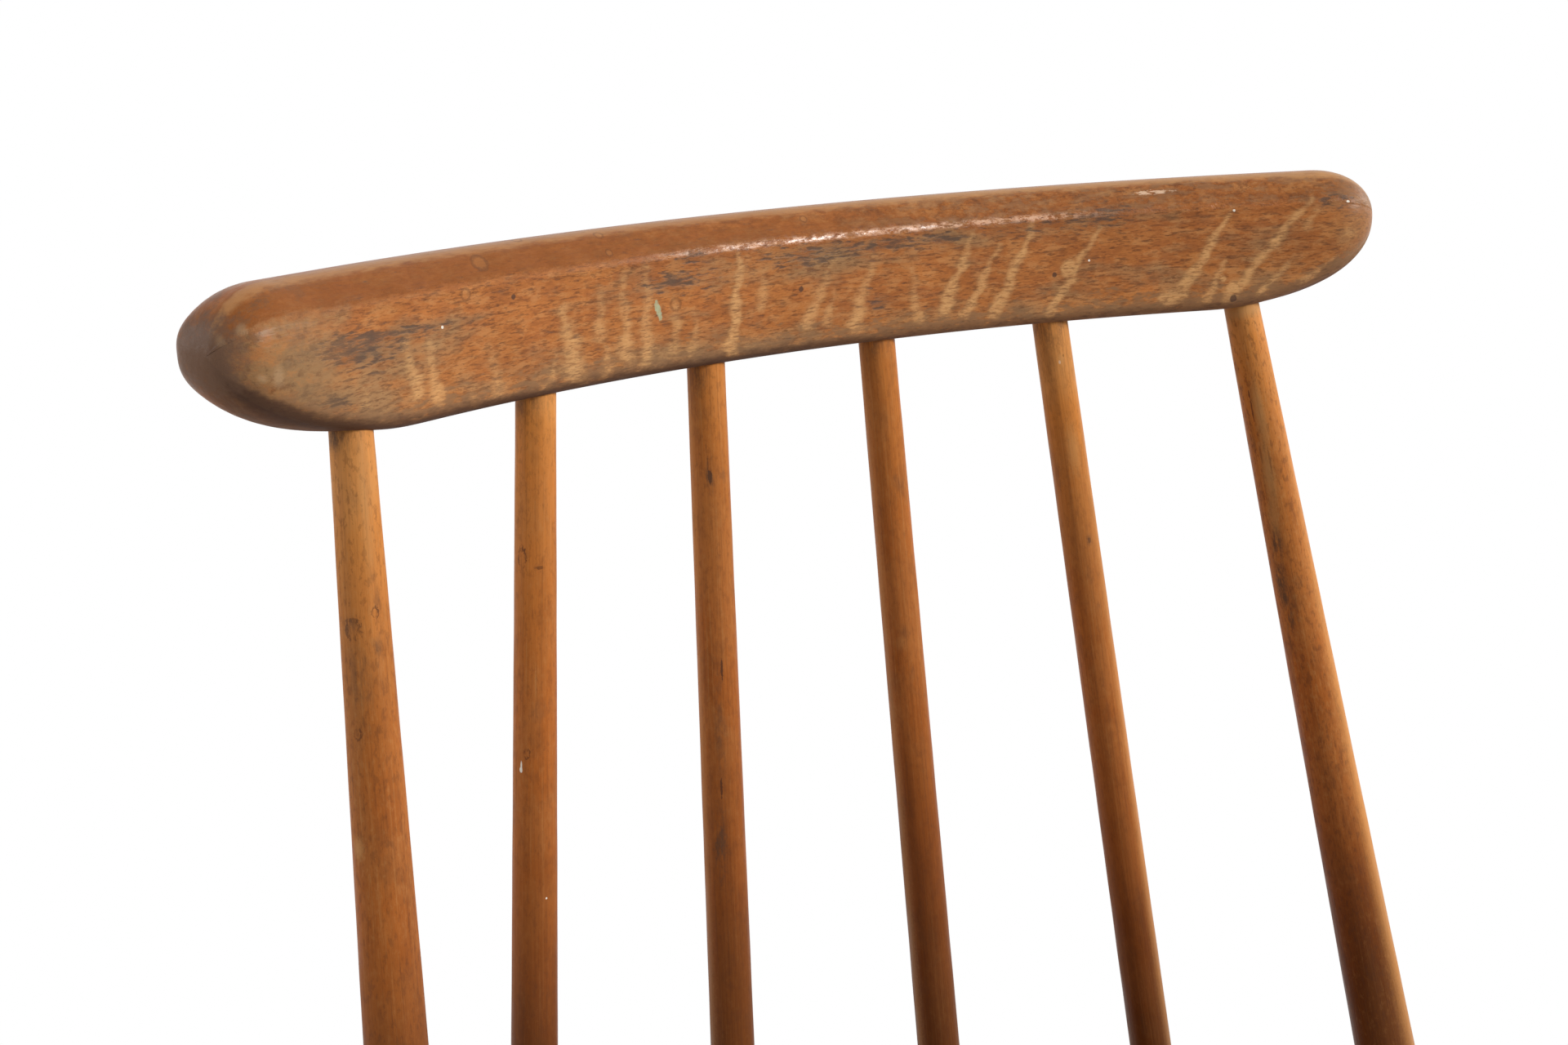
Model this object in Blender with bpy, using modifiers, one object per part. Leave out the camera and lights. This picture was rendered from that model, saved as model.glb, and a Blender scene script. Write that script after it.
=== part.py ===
"""Spindle-back side chair.

A bent crest rail stands on four slim spindles and two stouter posts, which rise from a
saddled plank seat. Four splayed legs pass through the seat and are wedged from above, and
an H of stretchers ties them together. Metres, +Z up, the sitter faces -Y.

Places on the seat are measured from the middle of its widest line, level with the floor.
"""

import math

import bmesh
import bpy
import numpy as np
from mathutils import Matrix, Vector

CHAIR_NAME = "spindle_back_chair"

# Fits
CLEARANCE = 0.0003       # gap all round every tenon and wedge
SOCKET_SPARE = 0.0006    # spare depth past the end of a tenon in a blind socket
TRIM_SPARE = 0.010       # length of tenon or foot that is pared away flush

# Seat plank
SEAT_HEIGHT = 0.440
SEAT_THICKNESS = 0.034
SEAT_HALF_WIDTH = 0.2265
SEAT_BACK_DEPTH = 0.169       # widest line to back edge
SEAT_FRONT_DEPTH = 0.245      # widest line to front edge
SEAT_BACK_SQUARENESS = 2.8    # exponent of the superellipse, 2 is an ellipse
SEAT_FRONT_SQUARENESS = 3.4
SEAT_EDGE_ROUND = 0.009

# Saddle of the seat: one broad hollow, and one thigh hollow on each side of the pommel
HOLLOW_HALF_WIDTH = 0.172
HOLLOW_HALF_DEPTH = 0.115
HOLLOW_BACK = -0.010
HOLLOW_SINK = 0.010
THIGH_HALF_WIDTH = 0.078
THIGH_HALF_DEPTH = 0.150
THIGH_ACROSS = 0.085
THIGH_BACK = -0.115
THIGH_SINK = 0.009
HOLLOW_CURVE = 0.060          # half height of the ellipsoid that carves a hollow

# Crest rail, steam-bent round a circle that lies in front of the chair
RAIL_RISE = 0.3472            # seat deck to the rail's underside, in the middle
RAIL_SETBACK = 0.1983         # seat's widest line to the stick line under the rail
RAIL_TILT = math.radians(6.6)
RAIL_RADIUS = 0.3796          # circle of the stick line
RAIL_LENGTH = 0.433           # along the stick line
RAIL_HEIGHT = 0.0462
RAIL_FRONT = 0.0097           # stick line to front face
RAIL_BACK = 0.0167            # stick line to back face
RAIL_BEVEL = 0.0075           # height and depth of the bevel on the upper front edge
RAIL_FOLD_ROUND = 0.006
RAIL_RIDGE_ROUND = 0.009
RAIL_LOWER_ROUND = 0.0045
RAIL_BACK_ROUND = 0.010
RAIL_TIP_HEIGHT = 0.0314      # height of the farthest point of each end
RAIL_END_TOP = 0.0224         # length over which an end curves down from the top
RAIL_END_BOTTOM = 0.063       # length over which an end curves up from the underside
RAIL_END_PLAN = 0.0085        # length over which an end rounds off in plan
RAIL_PLAN_SQUARENESS = 3      # exponent of that rounding, blunter than the elevation's ellipses

# Sticks of the back: heads along the rail, feet along a line set in from the seat's edge
HEAD_PITCH = 0.066
HEAD_PITCH_OUTER = 0.0711     # second spindle to post
FOOT_PITCH = 0.0928
FOOT_PITCH_OUTER = 0.0998     # second spindle to post
FOOT_INSET = 0.026
RAIL_TENON = 0.026
SEAT_TENON = 0.024
SPINDLE_HEAD_RADIUS = 0.00615
SPINDLE_FOOT_RADIUS = 0.0082
POST_HEAD_RADIUS = 0.00615
POST_FOOT_RADIUS = 0.0122
POST_TENON_TIP_RADIUS = 0.0100    # post's tenon where it leaves the seat's underside

# Legs: how far inside the seat's side and end their axes pass its underside, and how far outside
# that they meet the floor, each across and lengthwise
FRONT_LEG_INSET = (0.0765, 0.085)
FRONT_LEG_SPLAY = (0.050, 0.054)
BACK_LEG_INSET = (0.1145, 0.083)
BACK_LEG_SPLAY = (0.072, 0.110)
LEG_TENON_TIP_RADIUS = 0.0108     # leg's tenon where it reaches the seat's deck
LEG_NECK_RADIUS = 0.0132          # at the seat's underside
LEG_SWELL_RADIUS = 0.0172
LEG_SWELL_HEIGHT = 0.230
LEG_FOOT_RADIUS = 0.0112

# Stretchers
SIDE_STRETCHER_FRONT = 0.178      # height on the front leg
SIDE_STRETCHER_BACK = 0.154       # height on the back leg
STRETCHER_TENON_RADIUS = 0.0074
SIDE_STRETCHER_SWELL = 0.0118
CROSS_STRETCHER_TENON_RADIUS = 0.0066
CROSS_STRETCHER_SWELL = 0.0108
STRETCHER_PAST_AXIS = 0.003       # how far a tenon runs past the axis of what it enters
STRETCHER_NECK = 0.004            # plain length outside what a tenon enters, before the swell starts

# Wedges of the through tenons
WEDGE_DEPTH = 0.022
WEDGE_THICK = 0.0040
WEDGE_THIN = 0.0012
WEDGE_SIDE_GAP = 0.0006           # wedge's end to the wall of the tenon

# Facets
TURNED_STEPS = 20
SWELL_RINGS = 5
SEAT_OUTLINE_POINTS = 64
SEAT_EDGE_STEPS = 3
HOLLOW_SEGMENTS = 40
HOLLOW_RINGS = 28
RAIL_STATIONS = 32
RAIL_CORNER_STEPS = 3
FOOT_LINE_POINTS = 2001           # points that measure the length of the line of the sticks' feet
SHARP_EDGE = math.radians(60)     # edges sharper than this are rounded
WELD = 0.00001                    # points this close are one

# Colours of the worn varnish, linear
RAIL_COLOUR = (0.380, 0.135, 0.045, 1.0)
STICK_COLOUR = (0.440, 0.180, 0.052, 1.0)
SEAT_COLOUR = (0.400, 0.155, 0.050, 1.0)
LEG_COLOUR = (0.420, 0.165, 0.050, 1.0)
WEDGE_COLOUR = (0.300, 0.120, 0.045, 1.0)
VARNISH_ROUGHNESS = 0.42

UNDERSIDE = SEAT_HEIGHT - SEAT_THICKNESS
SIDES = (("left", -1), ("right", 1))


def clear_scene():
    for obj in list(bpy.data.objects):
        bpy.data.objects.remove(obj, do_unlink=True)


def new_collection(name):
    collection = bpy.data.collections.new(name)
    bpy.context.scene.collection.children.link(collection)
    return collection


clear_scene()
PARTS = new_collection(CHAIR_NAME)
CUTTERS = new_collection("cutters")
ROOT = bpy.data.objects.new("chair_root", None)
PARTS.objects.link(ROOT)


def varnished(name, colour):
    material = bpy.data.materials.new(name)
    material.use_nodes = True
    shader = material.node_tree.nodes["Principled BSDF"]
    shader.inputs["Base Color"].default_value = colour
    shader.inputs["Roughness"].default_value = VARNISH_ROUGHNESS
    shader.inputs["Metallic"].default_value = 0.0
    return material


def add_part(name, mesh, material):
    mesh.materials.append(material)
    obj = bpy.data.objects.new(name, mesh)
    obj.parent = ROOT
    PARTS.objects.link(obj)
    return obj


def add_cutter(name, mesh):
    obj = bpy.data.objects.new(name, mesh)
    obj.parent = ROOT
    obj.hide_render = True
    obj.display_type = "WIRE"
    CUTTERS.objects.link(obj)
    return obj


def mesh_from(bm, name):
    mesh = bpy.data.meshes.new(name)
    bm.to_mesh(mesh)
    bm.free()
    return mesh


def put(obj, place):
    obj.location = place.to_translation()
    obj.rotation_euler = place.to_euler()
    return obj


def cut(obj, cutters):
    for cutter in cutters:
        boolean = obj.modifiers.new("cut " + cutter.name, "BOOLEAN")
        boolean.operation = "DIFFERENCE"
        boolean.object = cutter


def along(origin, direction):
    """Frame with Z along the direction and Y as near the chair's own Y as it can be."""
    up = Vector(direction).normalized()
    right = Vector((0, 1, 0)).cross(up).normalized()
    back = up.cross(right)
    frame = Matrix((right, back, up)).transposed().to_4x4()
    return Matrix.Translation(origin) @ frame


def profile_mesh(name, profile):
    """Open profile of (radius, height) points, top to bottom, in the XZ plane."""
    points = [(radius, 0, height) for radius, height in profile]
    edges = [(i, i + 1) for i in range(len(points) - 1)]
    mesh = bpy.data.meshes.new(name)
    mesh.from_pydata(points, edges, [])
    return mesh


def turn(obj):
    screw = obj.modifiers.new("turning", "SCREW")
    screw.axis = "Z"
    screw.steps = TURNED_STEPS
    screw.render_steps = TURNED_STEPS
    screw.use_merge_vertices = True
    screw.merge_threshold = WELD
    screw.use_smooth_shade = True
    return obj


def turned_part(name, profile, place, material):
    return put(turn(add_part(name, profile_mesh(name, profile), material)), place)


def turned_cutter(name, profile, place):
    return put(turn(add_cutter(name, profile_mesh(name, profile))), place)


def capped(profile):
    """The profile closed onto the axis at its top and bottom."""
    return [(0, profile[0][1])] + profile + [(0, profile[-1][1])]


def taper(radius_low, low, radius_high, high, reach_low, reach_high):
    """Cone given by its radii at two heights, carried on to two other heights, top to bottom."""
    slope = (radius_high - radius_low) / (high - low)
    return [
        (radius_low + slope * (reach_high - low), reach_high),
        (radius_low + slope * (reach_low - low), reach_low),
    ]


def swelled(radius_top, top, radius_swell, swell, radius_bottom, bottom):
    """Turned swell, top to bottom: the radius falls off by the square of the way from the swell."""
    points = []
    for i in range(SWELL_RINGS):
        way = 1 - i / SWELL_RINGS
        points.append((radius_swell - (radius_swell - radius_top) * way**2, swell + (top - swell) * way))
    for i in range(SWELL_RINGS + 1):
        way = i / SWELL_RINGS
        points.append(
            (radius_swell - (radius_swell - radius_bottom) * way**2, swell + (bottom - swell) * way)
        )
    return points


def superellipse(angle, half_width, depth, squareness):
    """Point of a half superellipse, from its right end at angle 0 to its middle at a quarter turn."""
    across = np.sign(np.cos(angle)) * np.abs(np.cos(angle)) ** (2 / squareness)
    back = np.abs(np.sin(angle)) ** (2 / squareness)
    return half_width * across, depth * back


# Seat


def seat_outline():
    angles = np.linspace(0, 2 * math.pi, SEAT_OUTLINE_POINTS, endpoint=False)
    back_x, back_y = superellipse(angles, SEAT_HALF_WIDTH, SEAT_BACK_DEPTH, SEAT_BACK_SQUARENESS)
    front_x, front_y = superellipse(angles, SEAT_HALF_WIDTH, SEAT_FRONT_DEPTH, SEAT_FRONT_SQUARENESS)
    behind = angles < math.pi
    return np.where(behind, back_x, front_x), np.where(behind, back_y, -front_y)


def plank_mesh():
    """The seat's outline, filled and extruded to its thickness, as a welded mesh."""
    curve = bpy.data.curves.new("seat_outline", "CURVE")
    curve.dimensions = "2D"
    curve.fill_mode = "BOTH"
    curve.extrude = SEAT_THICKNESS / 2
    spline = curve.splines.new("POLY")
    spline.points.add(SEAT_OUTLINE_POINTS - 1)
    for point, x, y in zip(spline.points, *seat_outline()):
        point.co = (x, y, 0, 1)
    spline.use_cyclic_u = True
    drawn = bpy.data.objects.new("seat_outline", curve)
    PARTS.objects.link(drawn)
    graph = bpy.context.evaluated_depsgraph_get()
    bm = bmesh.new()
    bm.from_mesh(bpy.data.meshes.new_from_object(drawn.evaluated_get(graph)))
    bpy.data.objects.remove(drawn)
    bmesh.ops.remove_doubles(bm, verts=bm.verts, dist=WELD)
    bmesh.ops.recalc_face_normals(bm, faces=bm.faces)
    return mesh_from(bm, "seat")


def hollow(name, across, back, half_width, half_depth, sink):
    """Flat ellipsoid that carves a dish of this size and depth into the seat's deck."""
    spread = math.sqrt(1 - ((HOLLOW_CURVE - sink) / HOLLOW_CURVE) ** 2)
    bm = bmesh.new()
    bmesh.ops.create_uvsphere(bm, u_segments=HOLLOW_SEGMENTS, v_segments=HOLLOW_RINGS, radius=1)
    bmesh.ops.scale(bm, vec=(half_width / spread, half_depth / spread, HOLLOW_CURVE), verts=bm.verts)
    cutter = add_cutter(name, mesh_from(bm, name))
    cutter.location = (across, back, SEAT_HEIGHT + HOLLOW_CURVE - sink)
    return cutter


def slab(name, low, high):
    """Block over the whole plan of the chair, between two heights, that pares tenons and feet flush."""
    bm = bmesh.new()
    bmesh.ops.create_cube(bm, size=1)
    reach = 4 * (SEAT_HALF_WIDTH + SEAT_FRONT_DEPTH + SEAT_BACK_DEPTH)
    bmesh.ops.scale(bm, vec=(reach, reach, high - low), verts=bm.verts)
    cutter = add_cutter(name, mesh_from(bm, name))
    cutter.location = (0, 0, (low + high) / 2)
    return cutter


def make_hollows():
    hollows = {
        "middle": hollow(
            "seat_hollow", 0, HOLLOW_BACK, HOLLOW_HALF_WIDTH, HOLLOW_HALF_DEPTH, HOLLOW_SINK
        )
    }
    for side, sign in SIDES:
        hollows[side] = hollow(
            "thigh_hollow_" + side, sign * THIGH_ACROSS, THIGH_BACK,
            THIGH_HALF_WIDTH, THIGH_HALF_DEPTH, THIGH_SINK,
        )
    return hollows


def make_seat(hollows, sockets):
    seat = add_part("seat", plank_mesh(), varnished("seat varnish", SEAT_COLOUR))
    seat.location = (0, 0, SEAT_HEIGHT - SEAT_THICKNESS / 2)
    edge = seat.modifiers.new("rounded edge", "BEVEL")
    edge.width = SEAT_EDGE_ROUND
    edge.segments = SEAT_EDGE_STEPS
    edge.use_clamp_overlap = False
    edge.limit_method = "ANGLE"
    edge.angle_limit = SHARP_EDGE
    cut(seat, list(hollows.values()) + sockets)


# Wedges


def wedge_mesh(name, width, thick, thin, length):
    """Wedge standing on its thin edge, from 0 up to its length, with its width along Y."""
    bm = bmesh.new()
    bmesh.ops.create_cube(bm, size=1)
    for vert in bm.verts:
        thickness = thick if vert.co.z > 0 else thin
        vert.co = (vert.co.x * thickness, vert.co.y * width, (vert.co.z + 0.5) * length)
    return mesh_from(bm, name)


def wedge_and_kerf(name, place, tip_radius, material):
    """Wedge at the end of a through tenon, and the saw kerf that it is driven into.

    The place stands where the tenon's axis leaves the seat, with Z pointing out of the seat.
    """
    foot = place @ Matrix.Translation((0, 0, -WEDGE_DEPTH))
    length = WEDGE_DEPTH + TRIM_SPARE
    wedge = add_part(
        name,
        wedge_mesh(name, 2 * (tip_radius - WEDGE_SIDE_GAP), WEDGE_THICK, WEDGE_THIN, length),
        material,
    )
    put(wedge, foot)
    gap = 2 * CLEARANCE
    kerf = add_cutter(
        name + "_kerf",
        wedge_mesh(name + "_kerf", 4 * tip_radius, WEDGE_THICK + gap, WEDGE_THIN + gap, length + TRIM_SPARE),
    )
    put(kerf, foot @ Matrix.Translation((0, 0, -SOCKET_SPARE)))
    return wedge, kerf


# Legs and stretchers


class Leg:
    """Axis of one leg, from its middle on the floor to the middle of its tenon in the seat."""

    def __init__(self, name, foot, top):
        self.name = name
        self.foot = Vector((foot[0], foot[1], 0))
        rise = Vector((top[0], top[1], UNDERSIDE)) - self.foot
        self.underside = rise.length
        self.direction = rise.normalized()
        self.deck = SEAT_HEIGHT / self.direction.z
        self.sockets = []

    def at_height(self, height):
        return self.foot + self.direction * (height / self.direction.z)

    def tenon(self, low, high, gap):
        """The tapered tenon between two places along the axis, fatter by the gap."""
        return taper(
            LEG_NECK_RADIUS + gap, self.underside, LEG_TENON_TIP_RADIUS + gap, self.deck, low, high
        )


def make_legs():
    rows = (
        ("front", -SEAT_FRONT_DEPTH, -1, FRONT_LEG_INSET, FRONT_LEG_SPLAY),
        ("back", SEAT_BACK_DEPTH, 1, BACK_LEG_INSET, BACK_LEG_SPLAY),
    )
    legs = {}
    for row, seat_end, outward, inset, splay in rows:
        across = SEAT_HALF_WIDTH - inset[0]
        back = seat_end - outward * inset[1]
        for side, sign in SIDES:
            legs[row, side] = Leg(
                "leg_" + row + "_" + side,
                (sign * (across + splay[0]), back + outward * splay[1]),
                (sign * across, back),
            )
    return legs


def leg_socket(leg):
    profile = leg.tenon(leg.underside - TRIM_SPARE, leg.deck + 2 * TRIM_SPARE, CLEARANCE)
    return turned_cutter(leg.name + "_socket", capped(profile), along(leg.foot, leg.direction))


def build_leg(leg, side, hollows, floor, above_seat, leg_varnish, wedge_varnish):
    tenon_tip = leg.tenon(leg.underside, leg.deck + TRIM_SPARE, 0)[:1]
    swell = LEG_SWELL_HEIGHT / leg.direction.z
    body = swelled(
        LEG_NECK_RADIUS, leg.underside, LEG_SWELL_RADIUS, swell, LEG_FOOT_RADIUS, -TRIM_SPARE
    )
    obj = turned_part(leg.name, capped(tenon_tip + body), along(leg.foot, leg.direction), leg_varnish)
    top = along(leg.foot + leg.direction * leg.deck, leg.direction)
    wedge, kerf = wedge_and_kerf(leg.name + "_wedge", top, LEG_TENON_TIP_RADIUS, wedge_varnish)
    flush = [above_seat, hollows["middle"], hollows[side]]
    cut(obj, leg.sockets + [floor, kerf] + flush)
    cut(wedge, flush)


def stretcher(name, start, end, tenon_radius, swell_radius, entered_radius, material):
    """Swelled bar whose plain tenons run just past the two axes that it joins, and its two sockets."""
    span = (end - start).length
    low, high = -STRETCHER_PAST_AXIS, span + STRETCHER_PAST_AXIS
    neck = entered_radius + STRETCHER_NECK
    place = along(start, end - start)
    swell = swelled(tenon_radius, span - neck, swell_radius, span / 2, tenon_radius, neck)
    profile = [(tenon_radius, high)] + swell + [(tenon_radius, low)]
    bar = turned_part(name, capped(profile), place, material)
    bore = tenon_radius + CLEARANCE
    start_bore = capped([(bore, neck), (bore, low - SOCKET_SPARE)])
    end_bore = capped([(bore, high + SOCKET_SPARE), (bore, span - neck)])
    return bar, (
        turned_cutter(name + "_socket_start", start_bore, place),
        turned_cutter(name + "_socket_end", end_bore, place),
    )


def make_stretchers(legs, material):
    middles, bars = [], []
    for side, _ in SIDES:
        front, back = legs["front", side], legs["back", side]
        start = front.at_height(SIDE_STRETCHER_FRONT)
        end = back.at_height(SIDE_STRETCHER_BACK)
        bar, sockets = stretcher(
            "side_stretcher_" + side, start, end,
            STRETCHER_TENON_RADIUS, SIDE_STRETCHER_SWELL, LEG_SWELL_RADIUS, material,
        )
        front.sockets.append(sockets[0])
        back.sockets.append(sockets[1])
        bars.append(bar)
        middles.append((start + end) / 2)
    _, sockets = stretcher(
        "cross_stretcher", *middles,
        CROSS_STRETCHER_TENON_RADIUS, CROSS_STRETCHER_SWELL, SIDE_STRETCHER_SWELL, material,
    )
    for bar, socket in zip(bars, sockets):
        cut(bar, [socket])


# Crest rail


RAIL_PLACE = Matrix.Translation((0, RAIL_SETBACK, SEAT_HEIGHT + RAIL_RISE)) @ Matrix.Rotation(
    -RAIL_TILT, 4, "X"
)


def bent(run, out, up):
    """Rail's own point at this run along the stick line, this far out of it and this far up."""
    angle = run / RAIL_RADIUS
    reach = RAIL_RADIUS + out
    return Vector((reach * math.sin(angle), reach * math.cos(angle) - RAIL_RADIUS, up))


def rounded_outline(corners, steps):
    """Closed outline through corners of (across, up, radius), each rounded by an arc of these steps."""
    points = []
    for i, (across, up, radius) in enumerate(corners):
        corner = Vector((across, up))
        before = (Vector(corners[i - 1][:2]) - corner).normalized()
        after = (Vector(corners[(i + 1) % len(corners)][:2]) - corner).normalized()
        half = before.angle(after) / 2
        centre = corner + (before + after).normalized() * (radius / math.sin(half))
        start = corner + before * (radius / math.tan(half)) - centre
        sweep = before.angle_signed(after) + math.pi
        sweep = math.remainder(sweep, 2 * math.pi)
        for k in range(steps + 1):
            points.append(centre + Matrix.Rotation(-sweep * k / steps, 2) @ start)
    return points


def rail_section():
    """Section of the rail in its middle: flat face, bevel and ridge in front, rounder behind."""
    return rounded_outline(
        [
            (-RAIL_FRONT, 0, RAIL_LOWER_ROUND),
            (-RAIL_FRONT, RAIL_HEIGHT - RAIL_BEVEL, RAIL_FOLD_ROUND),
            (RAIL_BEVEL - RAIL_FRONT, RAIL_HEIGHT, RAIL_RIDGE_ROUND),
            (RAIL_BACK, RAIL_HEIGHT, RAIL_BACK_ROUND),
            (RAIL_BACK, 0, RAIL_LOWER_ROUND),
        ],
        RAIL_CORNER_STEPS,
    )


def round_off(from_end, length, squareness=2):
    """Quarter of a superellipse: 0 at an end, 1 from this length on."""
    way = max(0.0, 1 - from_end / length)
    return (1 - way**squareness) ** (1 / squareness)


def rail_mesh():
    """Loft of the section along the bent stick line, drawn in to a blunt tip at each end."""
    section = rail_section()
    middle = (RAIL_BACK - RAIL_FRONT) / 2
    half = RAIL_LENGTH / 2
    bm = bmesh.new()
    rings = []
    for i in range(1, RAIL_STATIONS):
        run = half * math.sin(math.pi / 2 * (2 * i / RAIL_STATIONS - 1))
        from_end = half - abs(run)
        top = RAIL_TIP_HEIGHT + (RAIL_HEIGHT - RAIL_TIP_HEIGHT) * round_off(from_end, RAIL_END_TOP)
        bottom = RAIL_TIP_HEIGHT * (1 - round_off(from_end, RAIL_END_BOTTOM))
        plan = round_off(from_end, RAIL_END_PLAN, RAIL_PLAN_SQUARENESS)
        rings.append(
            [
                bm.verts.new(
                    bent(
                        run,
                        middle + (point.x - middle) * plan,
                        bottom + point.y / RAIL_HEIGHT * (top - bottom),
                    )
                )
                for point in section
            ]
        )
    tips = [bm.verts.new(bent(run, middle, RAIL_TIP_HEIGHT)) for run in (-half, half)]
    count = len(section)
    for i in range(count):
        j = (i + 1) % count
        for ring, following in zip(rings, rings[1:]):
            bm.faces.new((ring[i], ring[j], following[j], following[i]))
        bm.faces.new((tips[0], rings[0][j], rings[0][i]))
        bm.faces.new((tips[1], rings[-1][i], rings[-1][j]))
    bmesh.ops.recalc_face_normals(bm, faces=bm.faces)
    mesh = mesh_from(bm, "crest_rail")
    mesh.shade_smooth()
    return mesh


def make_rail(sockets):
    rail = add_part("crest_rail", rail_mesh(), varnished("rail varnish", RAIL_COLOUR))
    put(rail, RAIL_PLACE)
    cut(rail, sockets)


# Sticks of the back


def half_spacing(pitch, outer_pitch):
    """Runs from the middle to the inner spindle, the second spindle and the post of one half."""
    inner = pitch / 2
    second = inner + pitch
    return [inner, second, second + outer_pitch]


def foot_spots():
    """Feet of the right half, spaced along the line set in from the seat's back edge."""
    angles = np.linspace(math.pi / 2, 0, FOOT_LINE_POINTS)
    across, back = superellipse(
        angles, SEAT_HALF_WIDTH - FOOT_INSET, SEAT_BACK_DEPTH - FOOT_INSET, SEAT_BACK_SQUARENESS
    )
    run = np.concatenate([[0], np.cumsum(np.hypot(np.diff(across), np.diff(back)))])
    wanted = half_spacing(FOOT_PITCH, FOOT_PITCH_OUTER)
    return list(zip(np.interp(wanted, run, across), np.interp(wanted, run, back)))


class Stick:
    """Axis of one stick of the back, from the seat's deck up to the rail's underside."""

    def __init__(self, name, sign, spot, run):
        self.name = name
        self.foot = Vector((sign * spot[0], spot[1], SEAT_HEIGHT))
        self.head = RAIL_PLACE @ bent(sign * run, 0, 0)
        self.length = (self.head - self.foot).length
        self.direction = (self.head - self.foot).normalized()
        self.place = along(self.foot, self.direction)

    def rail_socket(self, radius):
        bore = radius + CLEARANCE
        profile = [(bore, self.length + RAIL_TENON + SOCKET_SPARE), (bore, self.length - TRIM_SPARE)]
        return turned_cutter(self.name + "_rail_socket", capped(profile), self.place)


def build_spindle(stick, material):
    """Slim spindle, blind at both ends, and its sockets in the rail and the seat."""
    profile = [
        (SPINDLE_HEAD_RADIUS, stick.length + RAIL_TENON),
        (SPINDLE_HEAD_RADIUS, stick.length),
        (SPINDLE_FOOT_RADIUS, 0),
        (SPINDLE_FOOT_RADIUS, -SEAT_TENON),
    ]
    turned_part(stick.name, capped(profile), stick.place, material)
    bore = SPINDLE_FOOT_RADIUS + CLEARANCE
    socket = capped([(bore, TRIM_SPARE), (bore, -SEAT_TENON - SOCKET_SPARE)])
    return (
        stick.rail_socket(SPINDLE_HEAD_RADIUS),
        turned_cutter(stick.name + "_seat_socket", socket, stick.place),
    )


def build_post(stick, under_seat, post_varnish, wedge_varnish):
    """Stout post whose tapered tenon passes through the seat and is wedged from below."""
    underside = -SEAT_THICKNESS / stick.direction.z
    tenon = (POST_TENON_TIP_RADIUS, underside, POST_FOOT_RADIUS, 0)
    tip = taper(*tenon, underside - TRIM_SPARE, 0)[1]
    profile = [
        (POST_HEAD_RADIUS, stick.length + RAIL_TENON),
        (POST_HEAD_RADIUS, stick.length),
        (POST_FOOT_RADIUS, 0),
        tip,
    ]
    post = turned_part(stick.name, capped(profile), stick.place, post_varnish)
    below = along(stick.foot + stick.direction * underside, -stick.direction)
    wedge, kerf = wedge_and_kerf(stick.name + "_wedge", below, POST_TENON_TIP_RADIUS, wedge_varnish)
    cut(post, [kerf, under_seat])
    cut(wedge, [under_seat])
    bore = [
        (radius + CLEARANCE, height)
        for radius, height in taper(*tenon, underside - 2 * TRIM_SPARE, TRIM_SPARE)
    ]
    return (
        stick.rail_socket(POST_HEAD_RADIUS),
        turned_cutter(stick.name + "_seat_socket", capped(bore), stick.place),
    )


def make_sticks(under_seat, wedge_varnish):
    """All six sticks, numbered from the left, and their sockets in the rail and in the seat."""
    varnish = varnished("stick varnish", STICK_COLOUR)
    inner, second, outer = zip(foot_spots(), half_spacing(HEAD_PITCH, HEAD_PITCH_OUTER))
    sockets = []
    for number, (sign, ends) in enumerate([(-1, second), (-1, inner), (1, inner), (1, second)], start=1):
        sockets.append(build_spindle(Stick("back_spindle_%d" % number, sign, *ends), varnish))
    for side, sign in SIDES:
        sockets.append(
            build_post(Stick("back_post_" + side, sign, *outer), under_seat, varnish, wedge_varnish)
        )
    return [pair[0] for pair in sockets], [pair[1] for pair in sockets]


def centre_on_floor():
    """Moves the chair so that the middle of its box stands over the origin."""
    bpy.context.view_layer.update()
    graph = bpy.context.evaluated_depsgraph_get()
    backs = []
    for obj in PARTS.objects:
        if obj.type == "MESH":
            shown = obj.evaluated_get(graph)
            backs += [(shown.matrix_world @ Vector(corner)).y for corner in shown.bound_box]
    ROOT.location.y = -(min(backs) + max(backs)) / 2


def main():
    hollows = make_hollows()
    floor = slab("floor_trim", -4 * TRIM_SPARE, 0)
    above_seat = slab("deck_trim", SEAT_HEIGHT, SEAT_HEIGHT + 4 * TRIM_SPARE)
    under_seat = slab("underside_trim", UNDERSIDE - 4 * TRIM_SPARE, UNDERSIDE)
    leg_varnish = varnished("leg varnish", LEG_COLOUR)
    wedge_varnish = varnished("wedge end grain", WEDGE_COLOUR)

    rail_sockets, seat_sockets = make_sticks(under_seat, wedge_varnish)
    make_rail(rail_sockets)
    legs = make_legs()
    make_stretchers(legs, varnished("stretcher varnish", LEG_COLOUR))
    for (_, side), leg in legs.items():
        seat_sockets.append(leg_socket(leg))
        build_leg(leg, side, hollows, floor, above_seat, leg_varnish, wedge_varnish)
    make_seat(hollows, seat_sockets)
    centre_on_floor()


main()
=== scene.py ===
"""Spindle-back side chair with a worn varnish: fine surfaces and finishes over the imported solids.

Every piece of the chair is a closed skin of rings, worked out as whole arrays: turned sticks, legs and
stretchers from a radius along an axis, the crest rail from one section carried round a bend, the seat from
its outline and its saddle. Metres, +Z up, the sitter faces -Y.
"""

import math

import bpy
import numpy as np
from mathutils import Matrix, Vector


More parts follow.
